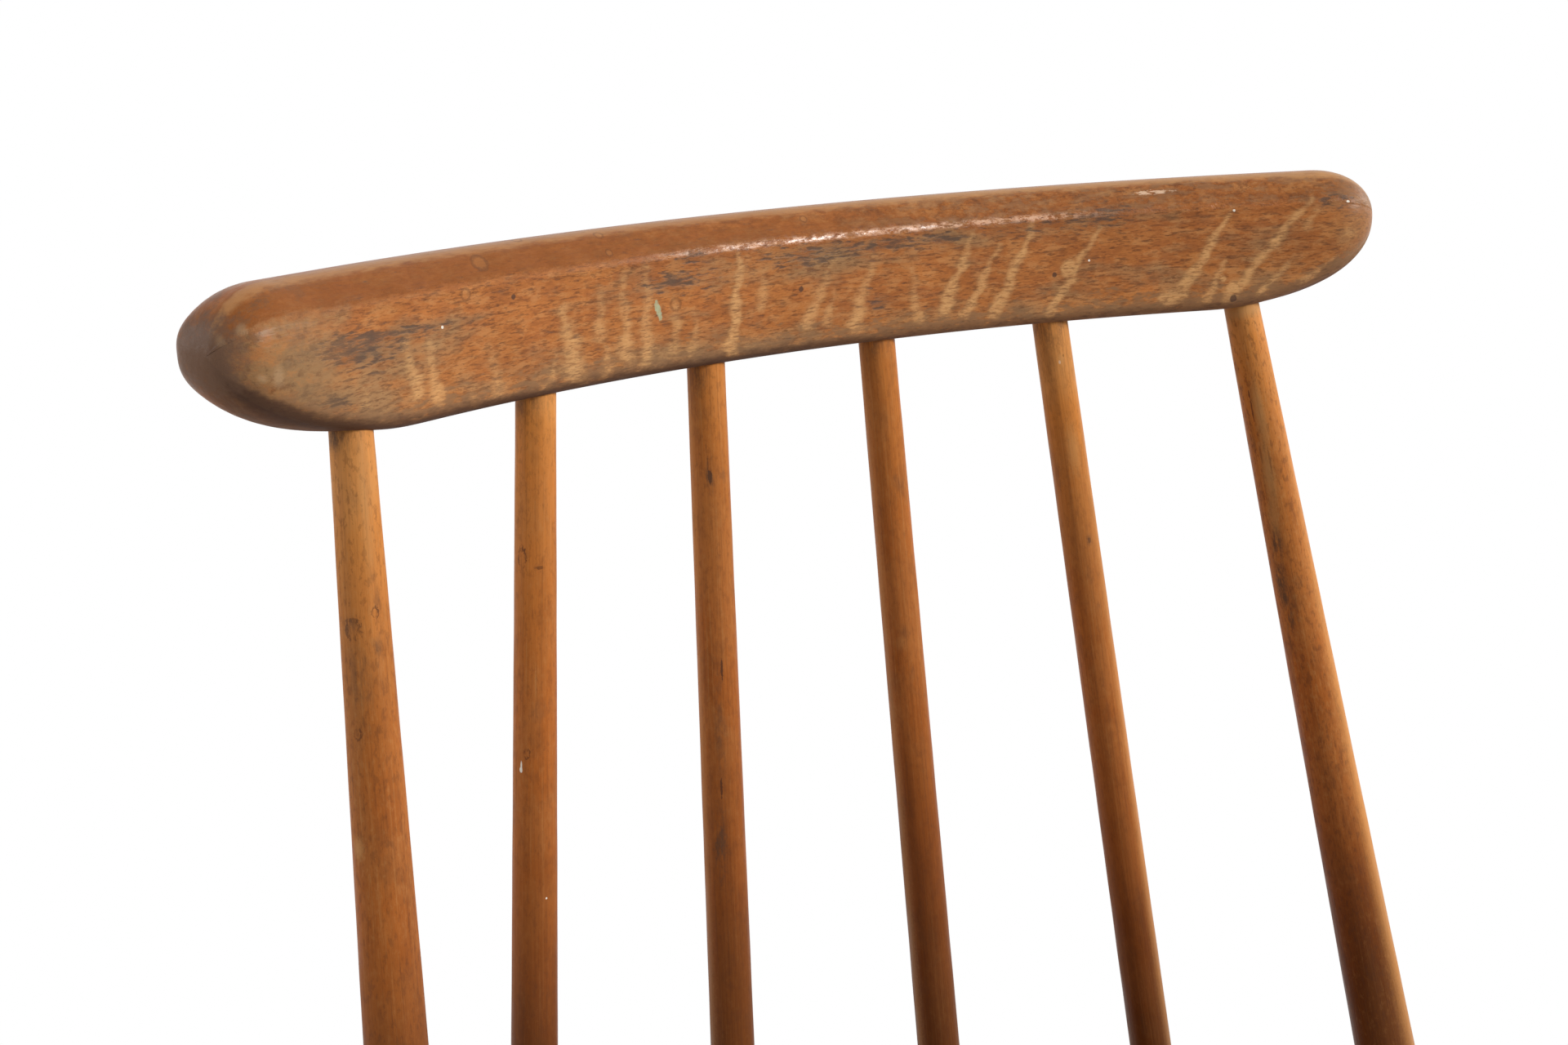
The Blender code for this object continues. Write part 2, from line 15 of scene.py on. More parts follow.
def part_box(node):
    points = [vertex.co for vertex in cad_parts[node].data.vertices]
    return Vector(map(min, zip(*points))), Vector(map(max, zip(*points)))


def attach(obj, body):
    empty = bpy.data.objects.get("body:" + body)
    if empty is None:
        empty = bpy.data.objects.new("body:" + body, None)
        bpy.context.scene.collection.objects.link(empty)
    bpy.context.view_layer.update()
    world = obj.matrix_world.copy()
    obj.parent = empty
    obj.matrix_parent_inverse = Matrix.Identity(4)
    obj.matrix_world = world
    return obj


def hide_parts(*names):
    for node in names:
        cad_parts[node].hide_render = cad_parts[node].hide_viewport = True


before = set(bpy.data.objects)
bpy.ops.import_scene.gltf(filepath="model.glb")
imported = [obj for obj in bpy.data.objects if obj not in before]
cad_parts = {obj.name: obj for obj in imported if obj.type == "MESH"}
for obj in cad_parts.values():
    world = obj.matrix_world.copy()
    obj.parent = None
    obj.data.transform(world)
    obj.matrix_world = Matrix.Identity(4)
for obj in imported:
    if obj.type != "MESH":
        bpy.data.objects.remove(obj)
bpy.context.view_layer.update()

# Seat plank
SEAT_HEIGHT = 0.440
SEAT_THICKNESS = 0.034
SEAT_HALF_WIDTH = 0.2265
SEAT_BACK_DEPTH = 0.169
SEAT_FRONT_DEPTH = 0.245
SEAT_BACK_SQUARENESS = 2.8
SEAT_FRONT_SQUARENESS = 3.4
SEAT_EDGE_ROUND = 0.009
UNDERSIDE = SEAT_HEIGHT - SEAT_THICKNESS
SEAT_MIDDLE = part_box("seat")[1].y - SEAT_BACK_DEPTH    # where the seat's widest line lies
SEAT_RINGS_FORWARD = 0.030       # the deck's rings shrink to a point this far in front of that line
SEAT_EDGE_BAND = (0.022, 0.006)  # ways from the outline where the edge's wear starts and is full
STAVE_WIDTH = 0.094
STAVE_START = 0.31
STAVE_SHIFTS = (0.37, 0.71)      # each stave's grain is shifted this much across and along from the last
STAVE_TONES = 0.618              # and its tone by this share of their range

# Saddle: middle of each hollow across and back, half width, half depth from front to back, sink
HOLLOW_CURVE = 0.060
HOLLOWS = (
    (0, -0.01, 0.172, 0.115, 0.01), (-0.085, -0.115, 0.078, 0.15, 0.009),
    (0.085, -0.115, 0.078, 0.15, 0.009),
)
HOLLOW_BLEND = 0.0011            # softness of the ridges between hollows

# Wear by sitting: middle across and back, half sizes, strength
SITTING_WEAR = (
    ((0, -0.020), 0.150, 0.105, 1),
    ((-0.085, -0.175), 0.075, 0.085, 0.75),
    ((0.085, -0.175), 0.075, 0.085, 0.75),
)
FOOT_DIRT_REACH = 0.017

# Crest rail
RAIL_RISE = 0.3472
RAIL_SETBACK = 0.1983
RAIL_TILT = math.radians(6.6)
RAIL_RADIUS = 0.3796
RAIL_LENGTH = 0.4333
RAIL_HEIGHT = 0.0462
RAIL_FRONT = 0.0097
RAIL_BACK = 0.0167
RAIL_BEVEL = 0.0075
RAIL_BEVEL_HEIGHT = 0.0094
RAIL_FOLD_ROUND = 0.0046
RAIL_RIDGE_ROUND = 0.009
RAIL_LOWER_ROUND = 0.0045
RAIL_BACK_ROUND = 0.0135
RAIL_BACK_LOWER_ROUND = 0.012
RAIL_TIP_HEIGHT = 0.0296
RAIL_END_TOP = (0.0220, 2.12)    # lengths over which the sides round off at an end, and the squareness
RAIL_END_BOTTOM_LEFT = (0.0704, 2.16)
RAIL_END_BOTTOM_RIGHT = (0.0560, 2.16)
RAIL_END_FRONT = (0.0165, 2.1)
RAIL_END_BACK = (0.0062, 2.8)
RAIL_TIP_FRONT = (0.062, 2.1)    # the section turns into a superellipse over this length, and its squareness
RAIL_TIP_BACK = (0.041, 2.8)
RAIL_SCRAPE = 0.00010            # height of the waves that the scraper left on the front
SCRAPE_WAVES = ((165, 40, 0), (61, -170, 1), (290, 0, 2))
SCRAPE_START = (0.003, 0.010)
SCRAPE_END = (0.056, 0.050)
SCRAPE_FADE = 0.020

# Soft steps of the rail's finish along its run or up its front: where each starts and where it is done
TO_RIGHT = (-0.03, 0.08)
TO_LEFT = (-0.04, -0.11)
LEFT_TIP = (-0.172, -0.206)
# the left end's grey-brown is its darker varnish with painted shade
LEFT_END = (-0.210, -0.216)
RIGHT_END = (0.196, 0.212)
FACE_TOP = (0.0425, 0.0375)
BEVEL_FOOT = (0.0382, 0.0418)
BEVEL_TOP = (0.0575, 0.0530)
# the darker band low on the bevel is painted shade
LOWER_BEVEL_SHADE = (0.050, 0.044)
BACK_START = (0.055, 0.060)
EDGE_BAND = (0.0115, 0.0060)
# the dark band on the lower front round and on the underside by the seam is dirt with painted shade
DIRT_AND_SHADE_BAND = (0.0075, 0.0030)
SEAM_DIRT_AND_SHADE = (0.006, 0)
# the darker underside is painted shade under the rail, with dirt
UNDERSIDE_BAND = (0.020, 0.008)

# Bands of the rail's finish: where each starts, is full, starts to fade and is gone
# the pale top edge is wear with painted sheen
RIM_BAND = (0.0455, 0.0525, 0.0535, 0.0570)
# the line along the fold is a painted highlight on the rubbed fold
FOLD_LINE = (0.0379, 0.0389, 0.0399, 0.0412)
FOLD_BAND = (0.0365, 0.0385, 0.0402, 0.0430)
FOLD_WEAR_AND_HIGHLIGHT_RUN = (-0.066, -0.030, 0.085, 0.128)
POLISHED_RUN = (-0.056, -0.010, 0.060, 0.150)

# Sticks of the back: radii at the rail and at the seat
HEAD_PITCH = 0.066
HEAD_PITCH_OUTER = 0.0711
FOOT_PITCH = 0.0928
FOOT_PITCH_OUTER = 0.0998
FOOT_INSET = 0.026
RAIL_TENON = 0.026
SEAT_TENON = 0.024
SPINDLE_RADII = (0.00615, 0.0082)
POST_RADII = (0.00615, 0.0122)
POST_TENON_TIP_RADIUS = 0.0100
POST_NUMBER = 2                  # counted from the middle

# Legs and stretchers
LEG_ROWS = (                     # name, end of the seat, way out, inset and splay across and back
    ("front", -SEAT_FRONT_DEPTH, -1, (0.0765, 0.085), (0.050, 0.054)),
    ("back", SEAT_BACK_DEPTH, 1, (0.1145, 0.083), (0.072, 0.110)),
)
LEG_TENON_TIP_RADIUS = 0.0108
LEG_NECK_RADIUS = 0.0132
LEG_SWELL_RADIUS = 0.0172
LEG_SWELL_HEIGHT = 0.230
LEG_FOOT_RADIUS = 0.0112
CUT_SPARE = 0.010                # legs and wedges are made this much too long and then cut
SIDE_STRETCHER_FRONT = 0.178     # heights of its ends
SIDE_STRETCHER_BACK = 0.154
SIDE_STRETCHER_RADII = (0.0074, 0.0118)    # at the ends and in the middle
CROSS_STRETCHER_RADII = (0.0066, 0.0108)
STRETCHER_PAST_AXIS = 0.003
STRETCHER_NECK = 0.004
LEG_SCUFFED = (0.30, 0.46)       # ways below the leg's top where the scuffs start and are full

# Wedges
WEDGE_DEPTH = 0.022
WEDGE_THICK = 0.0040
WEDGE_THIN = 0.0012
WEDGE_SIDE_GAP = 0.0006
WEDGE_SQUARENESS = 8
WEDGE_PARED = 0.012
TENON_PROUD = 0.00025            # tenons stand this much proud of the plank, which has shrunk
WEDGE_PROUD = 0.00045

# Fineness of the skins
STICK_BUILD = (72, 0.0015, "stick_varnish")    # sides, step along the axis, slot
LEG_BUILD = (80, 0.0025, "leg_varnish")
SEAT_SIDES = 400
SEAT_RINGS = 110
SEAT_ROUND_RINGS = 13
FIRST_SEAT_RING = 0.01
RAIL_STEP = 0.00075
RAIL_FRONT_STEP = 0.0007
RAIL_HIDDEN_STEP = 0.0016
RAIL_SEEN = 0.0605               # the front's finer steps go this far up
RAIL_CLOSE_RUNS = 0.030          # the runs lie closer over this length at each tip
RAIL_TIP_RUNS = 60
FIRST_TIP_ANGLE = 0.006
CORNER_STEPS = 41
OUTLINE_STEPS = 40001
FOOT_LINE_STEPS = 2001
WEDGE_SIDES = 48
WEDGE_STEP = 0.0015
CAP_RINGS = 5
FIRST_CAP_RING = 0.1
ARRIS = 0.0007                   # rounding of a sawn arris
ARRIS_STATIONS = 5
LATHE_WAVER = 0.00003
LATHE_WAVES = (171, 47)
SLIDE_REACH = 0.05               # rings this near a cut end are slid to its surface
LANDING_STEPS = 8

# Shifts of the grain, so that no two pieces look alike
SPINDLE_SHIFT = 0.31
POST_SHIFT = 2.3
POST_SIDE_SHIFT = 0.4
LEG_SHIFT = 4.1
LEG_SIDE_SHIFT = 0.3
STRETCHER_SHIFT = 6.7
CROSS_SHIFT = 7.9

SIDES = (("left", -1), ("right", 1))
BODY = "root"
MILLIMETRE = 0.001

# Marks on the rail in millimetres, as (run from the middle, way up the front from the underside): drips from
# upper to lower end, then blobs, patches, rings, spots and gleams, with half sizes and strengths
DRIP_RUNS = (
    ((-156, 28), (-153, 12), 1.4, 1.1), ((-147, 26), (-145, 9), 1.4, 1.05),
    ((-173, 17), (-173, 10), 1.1, 0.7), ((-131, 11), (-131, 6), 1.2, 0.8),
    ((-123, 22), (-121, 7), 1.5, 0.8), ((-98, 16), (-101, 6), 1.2, 0.8), ((-94, 27), (-90, 7), 1.9, 1.25),
    ((-79, 33), (-80, 18), 1.3, 0.9), ((-79, 16), (-78, 7), 1.3, 0.9), ((-70, 34), (-70, 9), 1.4, 1),
    ((-60, 36), (-63, 7), 1.4, 1), ((-50, 26), (-51, 7), 1.3, 0.9), ((-43, 21), (-44, 8), 1.1, 0.8),
    ((-24, 37), (-29, 7), 1.1, 1.4), ((-14, 31), (-17, 20), 1.2, 0.92), ((12, 31), (1, 12), 1.3, 1.03),
    ((12, 23), (9, 12), 1.1, 0.8), ((28, 30), (19, 10), 1.4, 1.03), ((42, 26), (44, 9), 1.2, 0.92),
    ((66, 35), (54, 11), 1.1, 1.4), ((76, 31), (63, 9), 0.9, 1.3), ((89, 37), (74, 8), 1, 1.45),
    ((114, 35), (95, 6), 0.8, 1.45), ((162, 36), (144, 9), 0.95, 1.7), ((145, 10), (140, 8), 1.2, 2.2),
    ((161, 20), (154, 7), 0.8, 1.3), ((193, 41), (179, 25), 0.85, 1.3), ((179, 25), (162, 7), 1, 1.45),
    ((185, 17), (174, 7), 0.8, 1.3), ((202, 12), (191, 5), 1.1, 1.16), ((196, 39), (190, 29), 1, 0.72),
)
DRIP_BLOBS = (
    ((-92, 22), 2.6, 0.9), ((102.5, 21), 2, 3), ((74, 9), 1.7, 2.4), ((160, 14), 0.9, 2),
    ((143, 8.5), 1.8, 2.6), ((164, 10), 1.8, 2.4), ((205, 22), 3.4, 0.9),
)
DRIP_BLOB_SPREAD = 1.3
DRIP_BOWS = ((0.55, 0.42, 1), (0.3, 1.1, 2))   # sideways waver of the drips: size, waves, turns by the place
DRIP_PULSE = ((0.40, 0.55, 1.7),)              # waver of their widths
DRIP_WIDTHS = (1.45, 2.60)                     # share of the half width at the upper and the lower end
DRIP_STRENGTHS = (0.6, 1.0)
GRIME_PATCHES = (
    ((-176, 27), 16, 4.5, 0.9), ((-155, 30), 26, 1.6, 0.8), ((-183, 11), 12, 3.5, 0.7),
    ((-50, 31), 14, 3.4, 1), ((-44, 38), 7, 2, 0.9), ((2, 34), 19, 4, 0.7), ((33, 35), 9, 2.4, 0.7),
    ((55, 35), 6, 2.4, 0.7), ((29, 16), 4, 2.6, 0.9), ((115, 39), 15, 5, 0.8), ((201, 39), 8, 7, 0.7),
    ((-164, 25), 24, 5, 0.35), ((40, 35.5), 44, 3.4, 0.42), ((92, 36.5), 20, 2.8, 0.45),
)
BLEACHED_PATCHES = (
    ((-196, 22), 13, 12, 1), ((-172, 12), 16, 7, 0.7), ((-163, 24), 24, 9, 0.6), ((-140, 16), 16, 8, 0.5),
    ((-95, 12), 20, 6, 0.5), ((-60, 10), 14, 5, 0.6), ((-20, 9), 22, 4, 0.6), ((-8, 31), 40, 5, 0.6),
    ((60, 33), 26, 4, 0.5), ((40, 9), 26, 4, 0.5), ((100, 10), 24, 6, 0.5), ((170, 14), 30, 9, 0.6),
)
WATER_RINGS = (
    ((-121, 46), 2.7), ((-131, 37), 1.8), ((-101, 54), 1.6), ((-73, 50), 1.5), ((-73, 43), 1.2),
    ((4, 47), 1.3), ((-50, 24), 2),
)
DARK_DOTS = (((-113, 34), 0.8), ((-1, 23.5), 0.9), ((97, 19.5), 0.9), ((164, 6.5), 1.3))
PALE_SPECKS = (((-141, 29), 0.45), ((164, 37.5), 0.45), ((110, 23.5), 0.4), ((205.5, 38.5), 0.6))
RIM_CHIP = ((136, 46.3), (7.0, 0.9))
PAINT_FLECK = (((-57.3, 24.2), (0.9, 1.9)), ((-56.7, 22.8), (1.0, 1.9)), ((-56.2, 21.2), (0.7, 1.5)))
TIP_GLEAMS = (
    ((-211.5, 41), (1.5, 3.6), 0.45), ((-215.3, 43), (0.7, 7), 0.3), ((-208.5, 15.5), (1.6, 2.6), 0.5),
    ((-204, 17.5), (2.2, 5.5), 0.5),
)

# Marks on the sticks in millimetres: way below the rail and way round from the front, half sizes, strength
STICK_MARKS = {
    "back_spindle_1": (
        ("drop", (115.6, -9.1), (0.9, 0.62), 1), ("drop", (114.2, -9), (1.4, 0.36), 1),
        ("drop", (156.4, 0.8), (0.36, 0.34), 0.9), ("ring", (49.8, -9.2), (3, 1.8), 0.85),
        ("dot", (52.6, -2), (0.55, 1.7), 0.62), ("ring", (110.4, -6.8), (1.5, 1.3), 0.7),
        # the last smudge, at the head, is painted shadow of the rail with dirt in the joint
        ("pale", (88, -3.4), (6, 0.5), 0.35), ("smudge", (0, -9), (8, 9), 0.6),
    ),
    "back_spindle_2": (
        # the long pale streak along the left side is painted reflection
        ("pale", (170, -13.4), (230, 3.2), 0.22), ("dot", (36.6, -4.2), (2.4, 0.9), 0.9),
        ("dot", (32.5, -4.9), (2.4, 0.3), 0.5), ("smudge", (36.5, -4.2), (6.5, 3), 0.7),
        ("dot", (100.8, -2.5), (3.4, 0.45), 0.9), ("dot", (141.5, -4.5), (3.4, 0.45), 0.9),
        ("smudge", (118, -4), (26, 2.8), 0.5), ("smudge", (161, -5.8), (15, 3.2), 0.8),
        # the last smudge, at the head, is painted shadow of the rail with dirt in the joint
        ("smudge", (0, -9), (10, 8), 0.75),
    ),
    "back_spindle_3": (
        # the long pale streak along the left side is painted reflection
        ("pale", (170, -13.4), (230, 3.4), 0.3), ("smudge", (60, -10), (14, 2), 0.25),
        # the smudge at the head is painted shadow of the rail with dirt in the joint
        ("pale", (106, -6), (3, 4), 0.2), ("smudge", (0, -6), (6, 12), 0.6),
    ),
    "back_spindle_4": (
        ("drop", (14.2, -3.2), (0.6, 0.5), 0.5), ("pale", (13.4, -2.4), (2.4, 2), 0.6),
        ("dot", (12.2, -1), (0.5, 0.5), 0.45), ("dot", (79.5, -0.9), (1.2, 0.8), 0.5),
        ("smudge", (79.5, -0.9), (2.6, 1.8), 0.5), ("smudge", (55, -12), (8, 3), 0.4),
        # the smudge at the head is painted shadow of the rail with dirt in the joint
        ("pale", (46, -2.4), (11, 4), 0.5), ("smudge", (0, -6), (9, 14), 0.65),
        # the gold streak along the right side is painted light
        ("gold", (190, 5.8), (215, 5.2), 0.48),
    ),
    "back_post_left": (
        ("ring", (48.8, 1.2), (1.4, 1.8), 0.85), ("ring", (53, -10.6), (2.8, 3.8), 0.6),
        ("smudge", (52, -11.5), (3, 6), 0.5), ("smudge", (66, -9), (12, 9), 0.42),
        ("ring", (82, -11.4), (1.5, 2), 0.75), ("smudge", (58, 1.6), (3.2, 2.8), 0.55),
        ("smudge", (45, 2.6), (3, 2.4), 0.5), ("pale", (113.5, -15.2), (4, 4), 0.7),
        # the pale band at the front below the head is painted sheen
        # the smudge at the head is painted shadow cast by the rail
        ("pale", (20, 0), (24, 3), 0.4), ("smudge", (0, -15), (5.2, 11), 0.9),
    ),
    "back_post_right": (
        ("pale", (1.4, -8), (3.2, 40), 0.85), ("pale", (38, -10), (15, 4.2), 0.75),
        ("pale", (60, -12), (15, 4.2), 0.75), ("pale", (77, -14.2), (10, 4), 0.6),
        ("dot", (31, -14.9), (1.4, 0.6), 0.75), ("dot", (37, -14.7), (4.2, 0.5), 0.65),
        ("dot", (52.8, -14.4), (3.2, 0.6), 0.4), ("dot", (55.8, -9.6), (5, 0.6), 0.35),
        ("smudge", (48.5, -17.8), (3.5, 2.2), 0.55), ("smudge", (85, -15.1), (8, 4), 0.85),
        ("smudge", (96, -17.1), (10, 4.4), 0.85), ("smudge", (104, -16.6), (8, 4.6), 0.75),
        ("smudge", (111.5, -14.6), (8, 4.6), 0.75), ("smudge", (128, -19), (16, 4), 0.5),
        # the gold streak along the right side is painted light
        ("dot", (90.5, 5.6), (1.4, 0.5), 0.45), ("gold", (192, 7.8), (198, 9.4), 0.64),
    ),
}

# Colours, linear
RAIL_ORANGE = (0.53, 0.195, 0.052, 1)
RAIL_RED = (0.43, 0.134, 0.034, 1)
RAIL_DEEP = (0.24, 0.078, 0.024, 1)
RAIL_BEVEL_BROWN = (0.25, 0.074, 0.015, 1)
RAIL_BACK_BROWN = (0.28, 0.098, 0.032, 1)
OLIVE_TAN = (0.37, 0.212, 0.094, 1)
WORN_TAN = (0.56, 0.26, 0.092, 1)
RIM_WEAR_AND_SHEEN = (0.56, 0.28, 0.11, 1)
CHIP_PALE = (0.85, 0.59, 0.4, 1)
FOLD_HIGHLIGHT_PINK = (0.78, 0.44, 0.265, 1)
RUBBED_EDGE = (0.265, 0.142, 0.066, 1)
EDGE_DIRT_AND_SHADE = (0.085, 0.043, 0.028, 1)
DRIP_TAN = (0.7, 0.38, 0.15, 1)
TIP_TAN = (0.265, 0.152, 0.066, 1)
TIP_GLEAM = (0.5, 0.32, 0.17, 1)
GRIME_GREY = (0.085, 0.058, 0.044, 1)
GRIME_HAZE = (0.15, 0.095, 0.056, 1)
BEVEL_HAZE = (0.3, 0.18, 0.1, 1)
END_GREY_AND_SHADE = (0.18, 0.098, 0.06, 1)
UNDERSIDE_DIRT_AND_SHADE = (0.12, 0.064, 0.038, 1)
FLECK_BROWN = (0.11, 0.04, 0.018, 1)
SPECK_WHITE = (0.95, 0.9, 0.78, 1)
FLECK_TURQUOISE = (0.42, 0.44, 0.27, 1)
# Tones of the sticks from the rail downwards: the darkening towards the seat is partly painted shade
STICK_TONES_AND_SHADE = (
    (0, (0.79, 0.325, 0.085, 1)), (0.04, (0.73, 0.264, 0.053, 1)), (0.1, (0.64, 0.218, 0.043, 1)),
    (0.17, (0.54, 0.178, 0.036, 1)), (0.3, (0.48, 0.141, 0.026, 1)), (0.4, (0.422, 0.121, 0.022, 1)),
    (0.44, (0.385, 0.11, 0.02, 1)), (0.49, (0.325, 0.092, 0.017, 1)), (0.53, (0.255, 0.071, 0.014, 1)),
    (0.57, (0.21, 0.058, 0.011, 1)), (0.61, (0.178, 0.049, 0.01, 1)), (0.65, (0.148, 0.041, 0.008, 1)),
    (0.7, (0.146, 0.042, 0.009, 1)), (1, (0.165, 0.052, 0.013, 1)),
)
STICK_TONE_REACH = 0.36
SPINDLES = (                     # side, order from the middle, rate and shift of the tones, grit
    (-1, 1, (1.07, 0, 0.9)), (-1, 0, (0.83, 0.098, 0.9)), (1, 0, (0.79, 0.115, 0.7)),
    (1, 1, (0.93, -0.04, 0.7)),
)
POST_TONES = {"left": (1.25, -0.055, 1.3), "right": (0.93, -0.010, 1.7)}
STICK_SMUDGE_AND_SHADOW = (0.105, 0.06, 0.036, 1)
STICK_PALE = (0.56, 0.275, 0.095, 1)
STICK_PAINTED_RIM_LIGHT = (0.7, 0.32, 0.095, 1)
MARK_KINDS = {                   # colour, output of the spot group, raggedness, laid on unbroken
    "drop": (SPECK_WHITE, "Spot", 0.6, True),
    "ring": (FLECK_BROWN, "Ring", 1.5, False),
    "dot": (FLECK_BROWN, "Spot", 1.4, True),
    # smudge: dirt, and at the head of a stick also painted shadow of the rail
    "smudge": (STICK_SMUDGE_AND_SHADOW, "Stain", 0.9, False),
    # pale: pale wear, and on spindles 2 and 3 and the left post also painted reflection and sheen
    "pale": (STICK_PALE, "Stain", 0.8, True),
    # gold: painted light along the right side of a stick
    "gold": (STICK_PAINTED_RIM_LIGHT, "Stain", 0.3, True),
}
SEAT_BROWN = (0.215, 0.08, 0.027, 1)
SEAT_STAVE = (0.265, 0.104, 0.036, 1)
SEAT_WORN = (0.43, 0.195, 0.07, 1)
SEAT_DIRT = (0.085, 0.04, 0.02, 1)
LEG_BROWN = (0.215, 0.078, 0.026, 1)
LEG_GOLD = (0.3, 0.115, 0.038, 1)
LEG_SCUFF = (0.44, 0.23, 0.1, 1)
END_GRAIN_BROWN = (0.15, 0.062, 0.026, 1)
END_GRAIN_PALE = (0.33, 0.16, 0.07, 1)
WEDGE_BROWN = (0.24, 0.105, 0.042, 1)
PORES = (0.60, 0.70)
YEAR_RING_OFFSET = (0.013, 0.006, 0)

# Grain, patches and spots
GRAINS = {                       # waves a metre along each part of the blank, detail, roughness, soft step
    "Streak": ((75, 75, 6), 3, 0.6, (0.32, 0.68)),
    "Fibre": ((900, 900, 45), 3, 0.6, (0.3, 0.7)),
    "Fleck": ((950, 950, 170), 1, 0.5, (0.62, 0.73)),
}
PATCH_NOISE = ((1, 1, 0.45), 5, 0.62)
PATCH_LEVEL = 0.85               # patches are where the noise is above this level
PATCH_DROP = 0.7                 # full cover lowers it by this much
PATCH_SOFT = 0.07
SPOT_WAVES = (1100, 1100, 1)
SPOT_EDGE = (1.2, 0.8)           # soft steps of the distance in half sizes
STAIN_EDGE = (1.25, 0.1)
RING_BAND = (0.55, 0.9, 1.0, 1.3)
NOISE_MIDDLE = 0.5

# Gloss and depth of the bumps
WOOD_SPECULAR = 0.12
STICK_SPECULAR = 0.08
SEAT_SPECULAR = 0.25
RAIL_BUMP = 0.00022
STICK_BUMP = 0.00012
SEAT_BUMP = 0.00018
LEG_BUMP = 0.00014
WEDGE_BUMP = 0.00012

# Light and view
CAMERA_PLACE = (-0.34114, -0.34721, 0.96031)
CAMERA_YAW = math.radians(31.330)
CAMERA_PITCH = math.radians(-19.699)
CAMERA_ROLL = math.radians(0.952)
CAMERA_LENS = 46.75
CAMERA_SENSOR = 36
CAMERA_NEAR = 0.01
LAMP_AIM = Vector((0, 0.17, 0.70))
LAMPS = (                        # name, turn from the front to the right, rise, distance, size, power
    ("key", math.radians(42), math.radians(33), 2.2, 0.7, 40),
    ("side", math.radians(82), math.radians(22), 1.5, 0.6, 4.5),
    ("fill", math.radians(-108), math.radians(18), 1.5, 1.0, 7.5),
)
AMBIENT = 0.25
FLOOR_RADIUS = 9
FLOOR_SIDES = 96
FLOOR_PALE = (0.86, 0.86, 0.86, 1)
FLOOR_LIFT = 0.36
FLOOR_SHADE_REACH = (0.50, 0.85)       # the floor fades to plain white between these distances


# Skins


def joined(*parts):
    """One array of points from their parts, each spread out to the same shape."""
    return np.stack(np.broadcast_arrays(*parts), axis=-1)


def closed_skin(name, rings, unrolled, **marks):
    """Closed mesh over rings of points: a quad between neighbours, and a fan to the middle of each end ring.

    Each array is (rings, sides + 1, parts), where the last point of a ring lies on its first. unrolled is the
    surface laid flat, in metres. marks are numbers or vectors at the points, and wood is one of them: the
    place of each point in the straight blank, whose grain runs along the third part.
    """
    count, sides = rings.shape[0], rings.shape[1] - 1

    def with_poles(values):
        flat = values[:, :-1].reshape(count * sides, -1)
        return np.concatenate([flat, flat[:sides].mean(axis=0)[None], flat[-sides:].mean(axis=0)[None]])

    def faces(here, beside, low, high):
        quads = np.stack([here[:-1], beside[:-1], beside[1:], here[1:]], axis=-1)
        fans = np.array([[low, beside[0], here[0]], [high, here[-1], beside[-1]]]).swapaxes(1, 2)
        return quads.reshape(-1, 4), fans.reshape(-1, 3)

    points = with_poles(rings)
    grid = np.arange(count * sides).reshape(count, sides)
    pole = np.full(sides, count * sides)
    around = faces(grid, np.roll(grid, -1, axis=1), pole, pole + 1)
    grid = np.arange(count * (sides + 1)).reshape(count, sides + 1)
    laid = faces(grid[:, :-1], grid[:, 1:], grid[0, :-1], grid[-1, :-1])
    turn = 1 if enclosed_volume(points, around[0]) > 0 else -1
    mesh = bpy.data.meshes.new(name)
    mesh.from_pydata(points, [], [face for part in around for face in part[:, ::turn].tolist()])
    mesh.validate()
    flat = unrolled.reshape(-1, 2)[np.concatenate([part[:, ::turn].ravel() for part in laid])]
    mesh.uv_layers.new(name="unrolled").data.foreach_set("uv", flat.astype(np.float32).ravel())
    for mark, values in marks.items():
        kind, field = ("FLOAT_VECTOR", "vector") if values.ndim == 3 else ("FLOAT", "value")
        attribute = mesh.attributes.new(mark, kind, "POINT")
        attribute.data.foreach_set(field, with_poles(values).astype(np.float32).ravel())
    mesh.shade_smooth()
    return mesh


def enclosed_volume(points, quads):
    """Sum of corner one dot corner two cross corner three over the faces, whose sign tells how they face."""
    a, b, c, d = (points[quads[:, i]] for i in range(4))
    return np.sum(a * np.cross(b, c)) + np.sum(a * np.cross(c, d))


def new_object(name, data):
    """Object in the scene, at the origin."""
    added = bpy.data.objects.new(name, data)
    bpy.context.scene.collection.objects.link(added)
    return added


def add_piece(node, mesh, material):
    """Finished piece that stands for one node of the chair and rides with it."""
    piece = new_object(node + "_finished", mesh)
    mesh.materials.append(material)
    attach(piece, BODY)
    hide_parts(node)


class Place:
    """Origin and frame of a turned piece: right, back as near the chair's own back as can be, and axis."""

    def __init__(self, origin, direction):
        self.origin = origin
        self.axis = direction / np.linalg.norm(direction)
        right = np.cross((0, 1, 0), self.axis)
        right = right / np.linalg.norm(right)
        self.ways = np.stack([right, np.cross(self.axis, right), self.axis])

    def world(self, right, back, height):
        """Points in the chair's frame from the piece's own right, back and height."""
        return self.origin + joined(right, back, height) @ self.ways

    def at(self, rise):
        """Point of the axis that lies this much higher than the origin."""
        return self.origin + self.axis * (rise / self.axis[2])

    def landed(self, points, surface):
        """Points slid along the axis until each lies on the surface, which gives a height over a plan."""
        for _ in range(LANDING_STEPS):
            gap = surface(points[..., 0], points[..., 1]) - points[..., 2]
            points = points + self.axis * (gap / self.axis[2])[..., None]
        return points


def smooth_step(low, high, value):
    """Cubic ramp from 0 at low to 1 at high."""
    way = np.clip((value - low) / (high - low), 0, 1)
    return way * way * (3 - 2 * way)


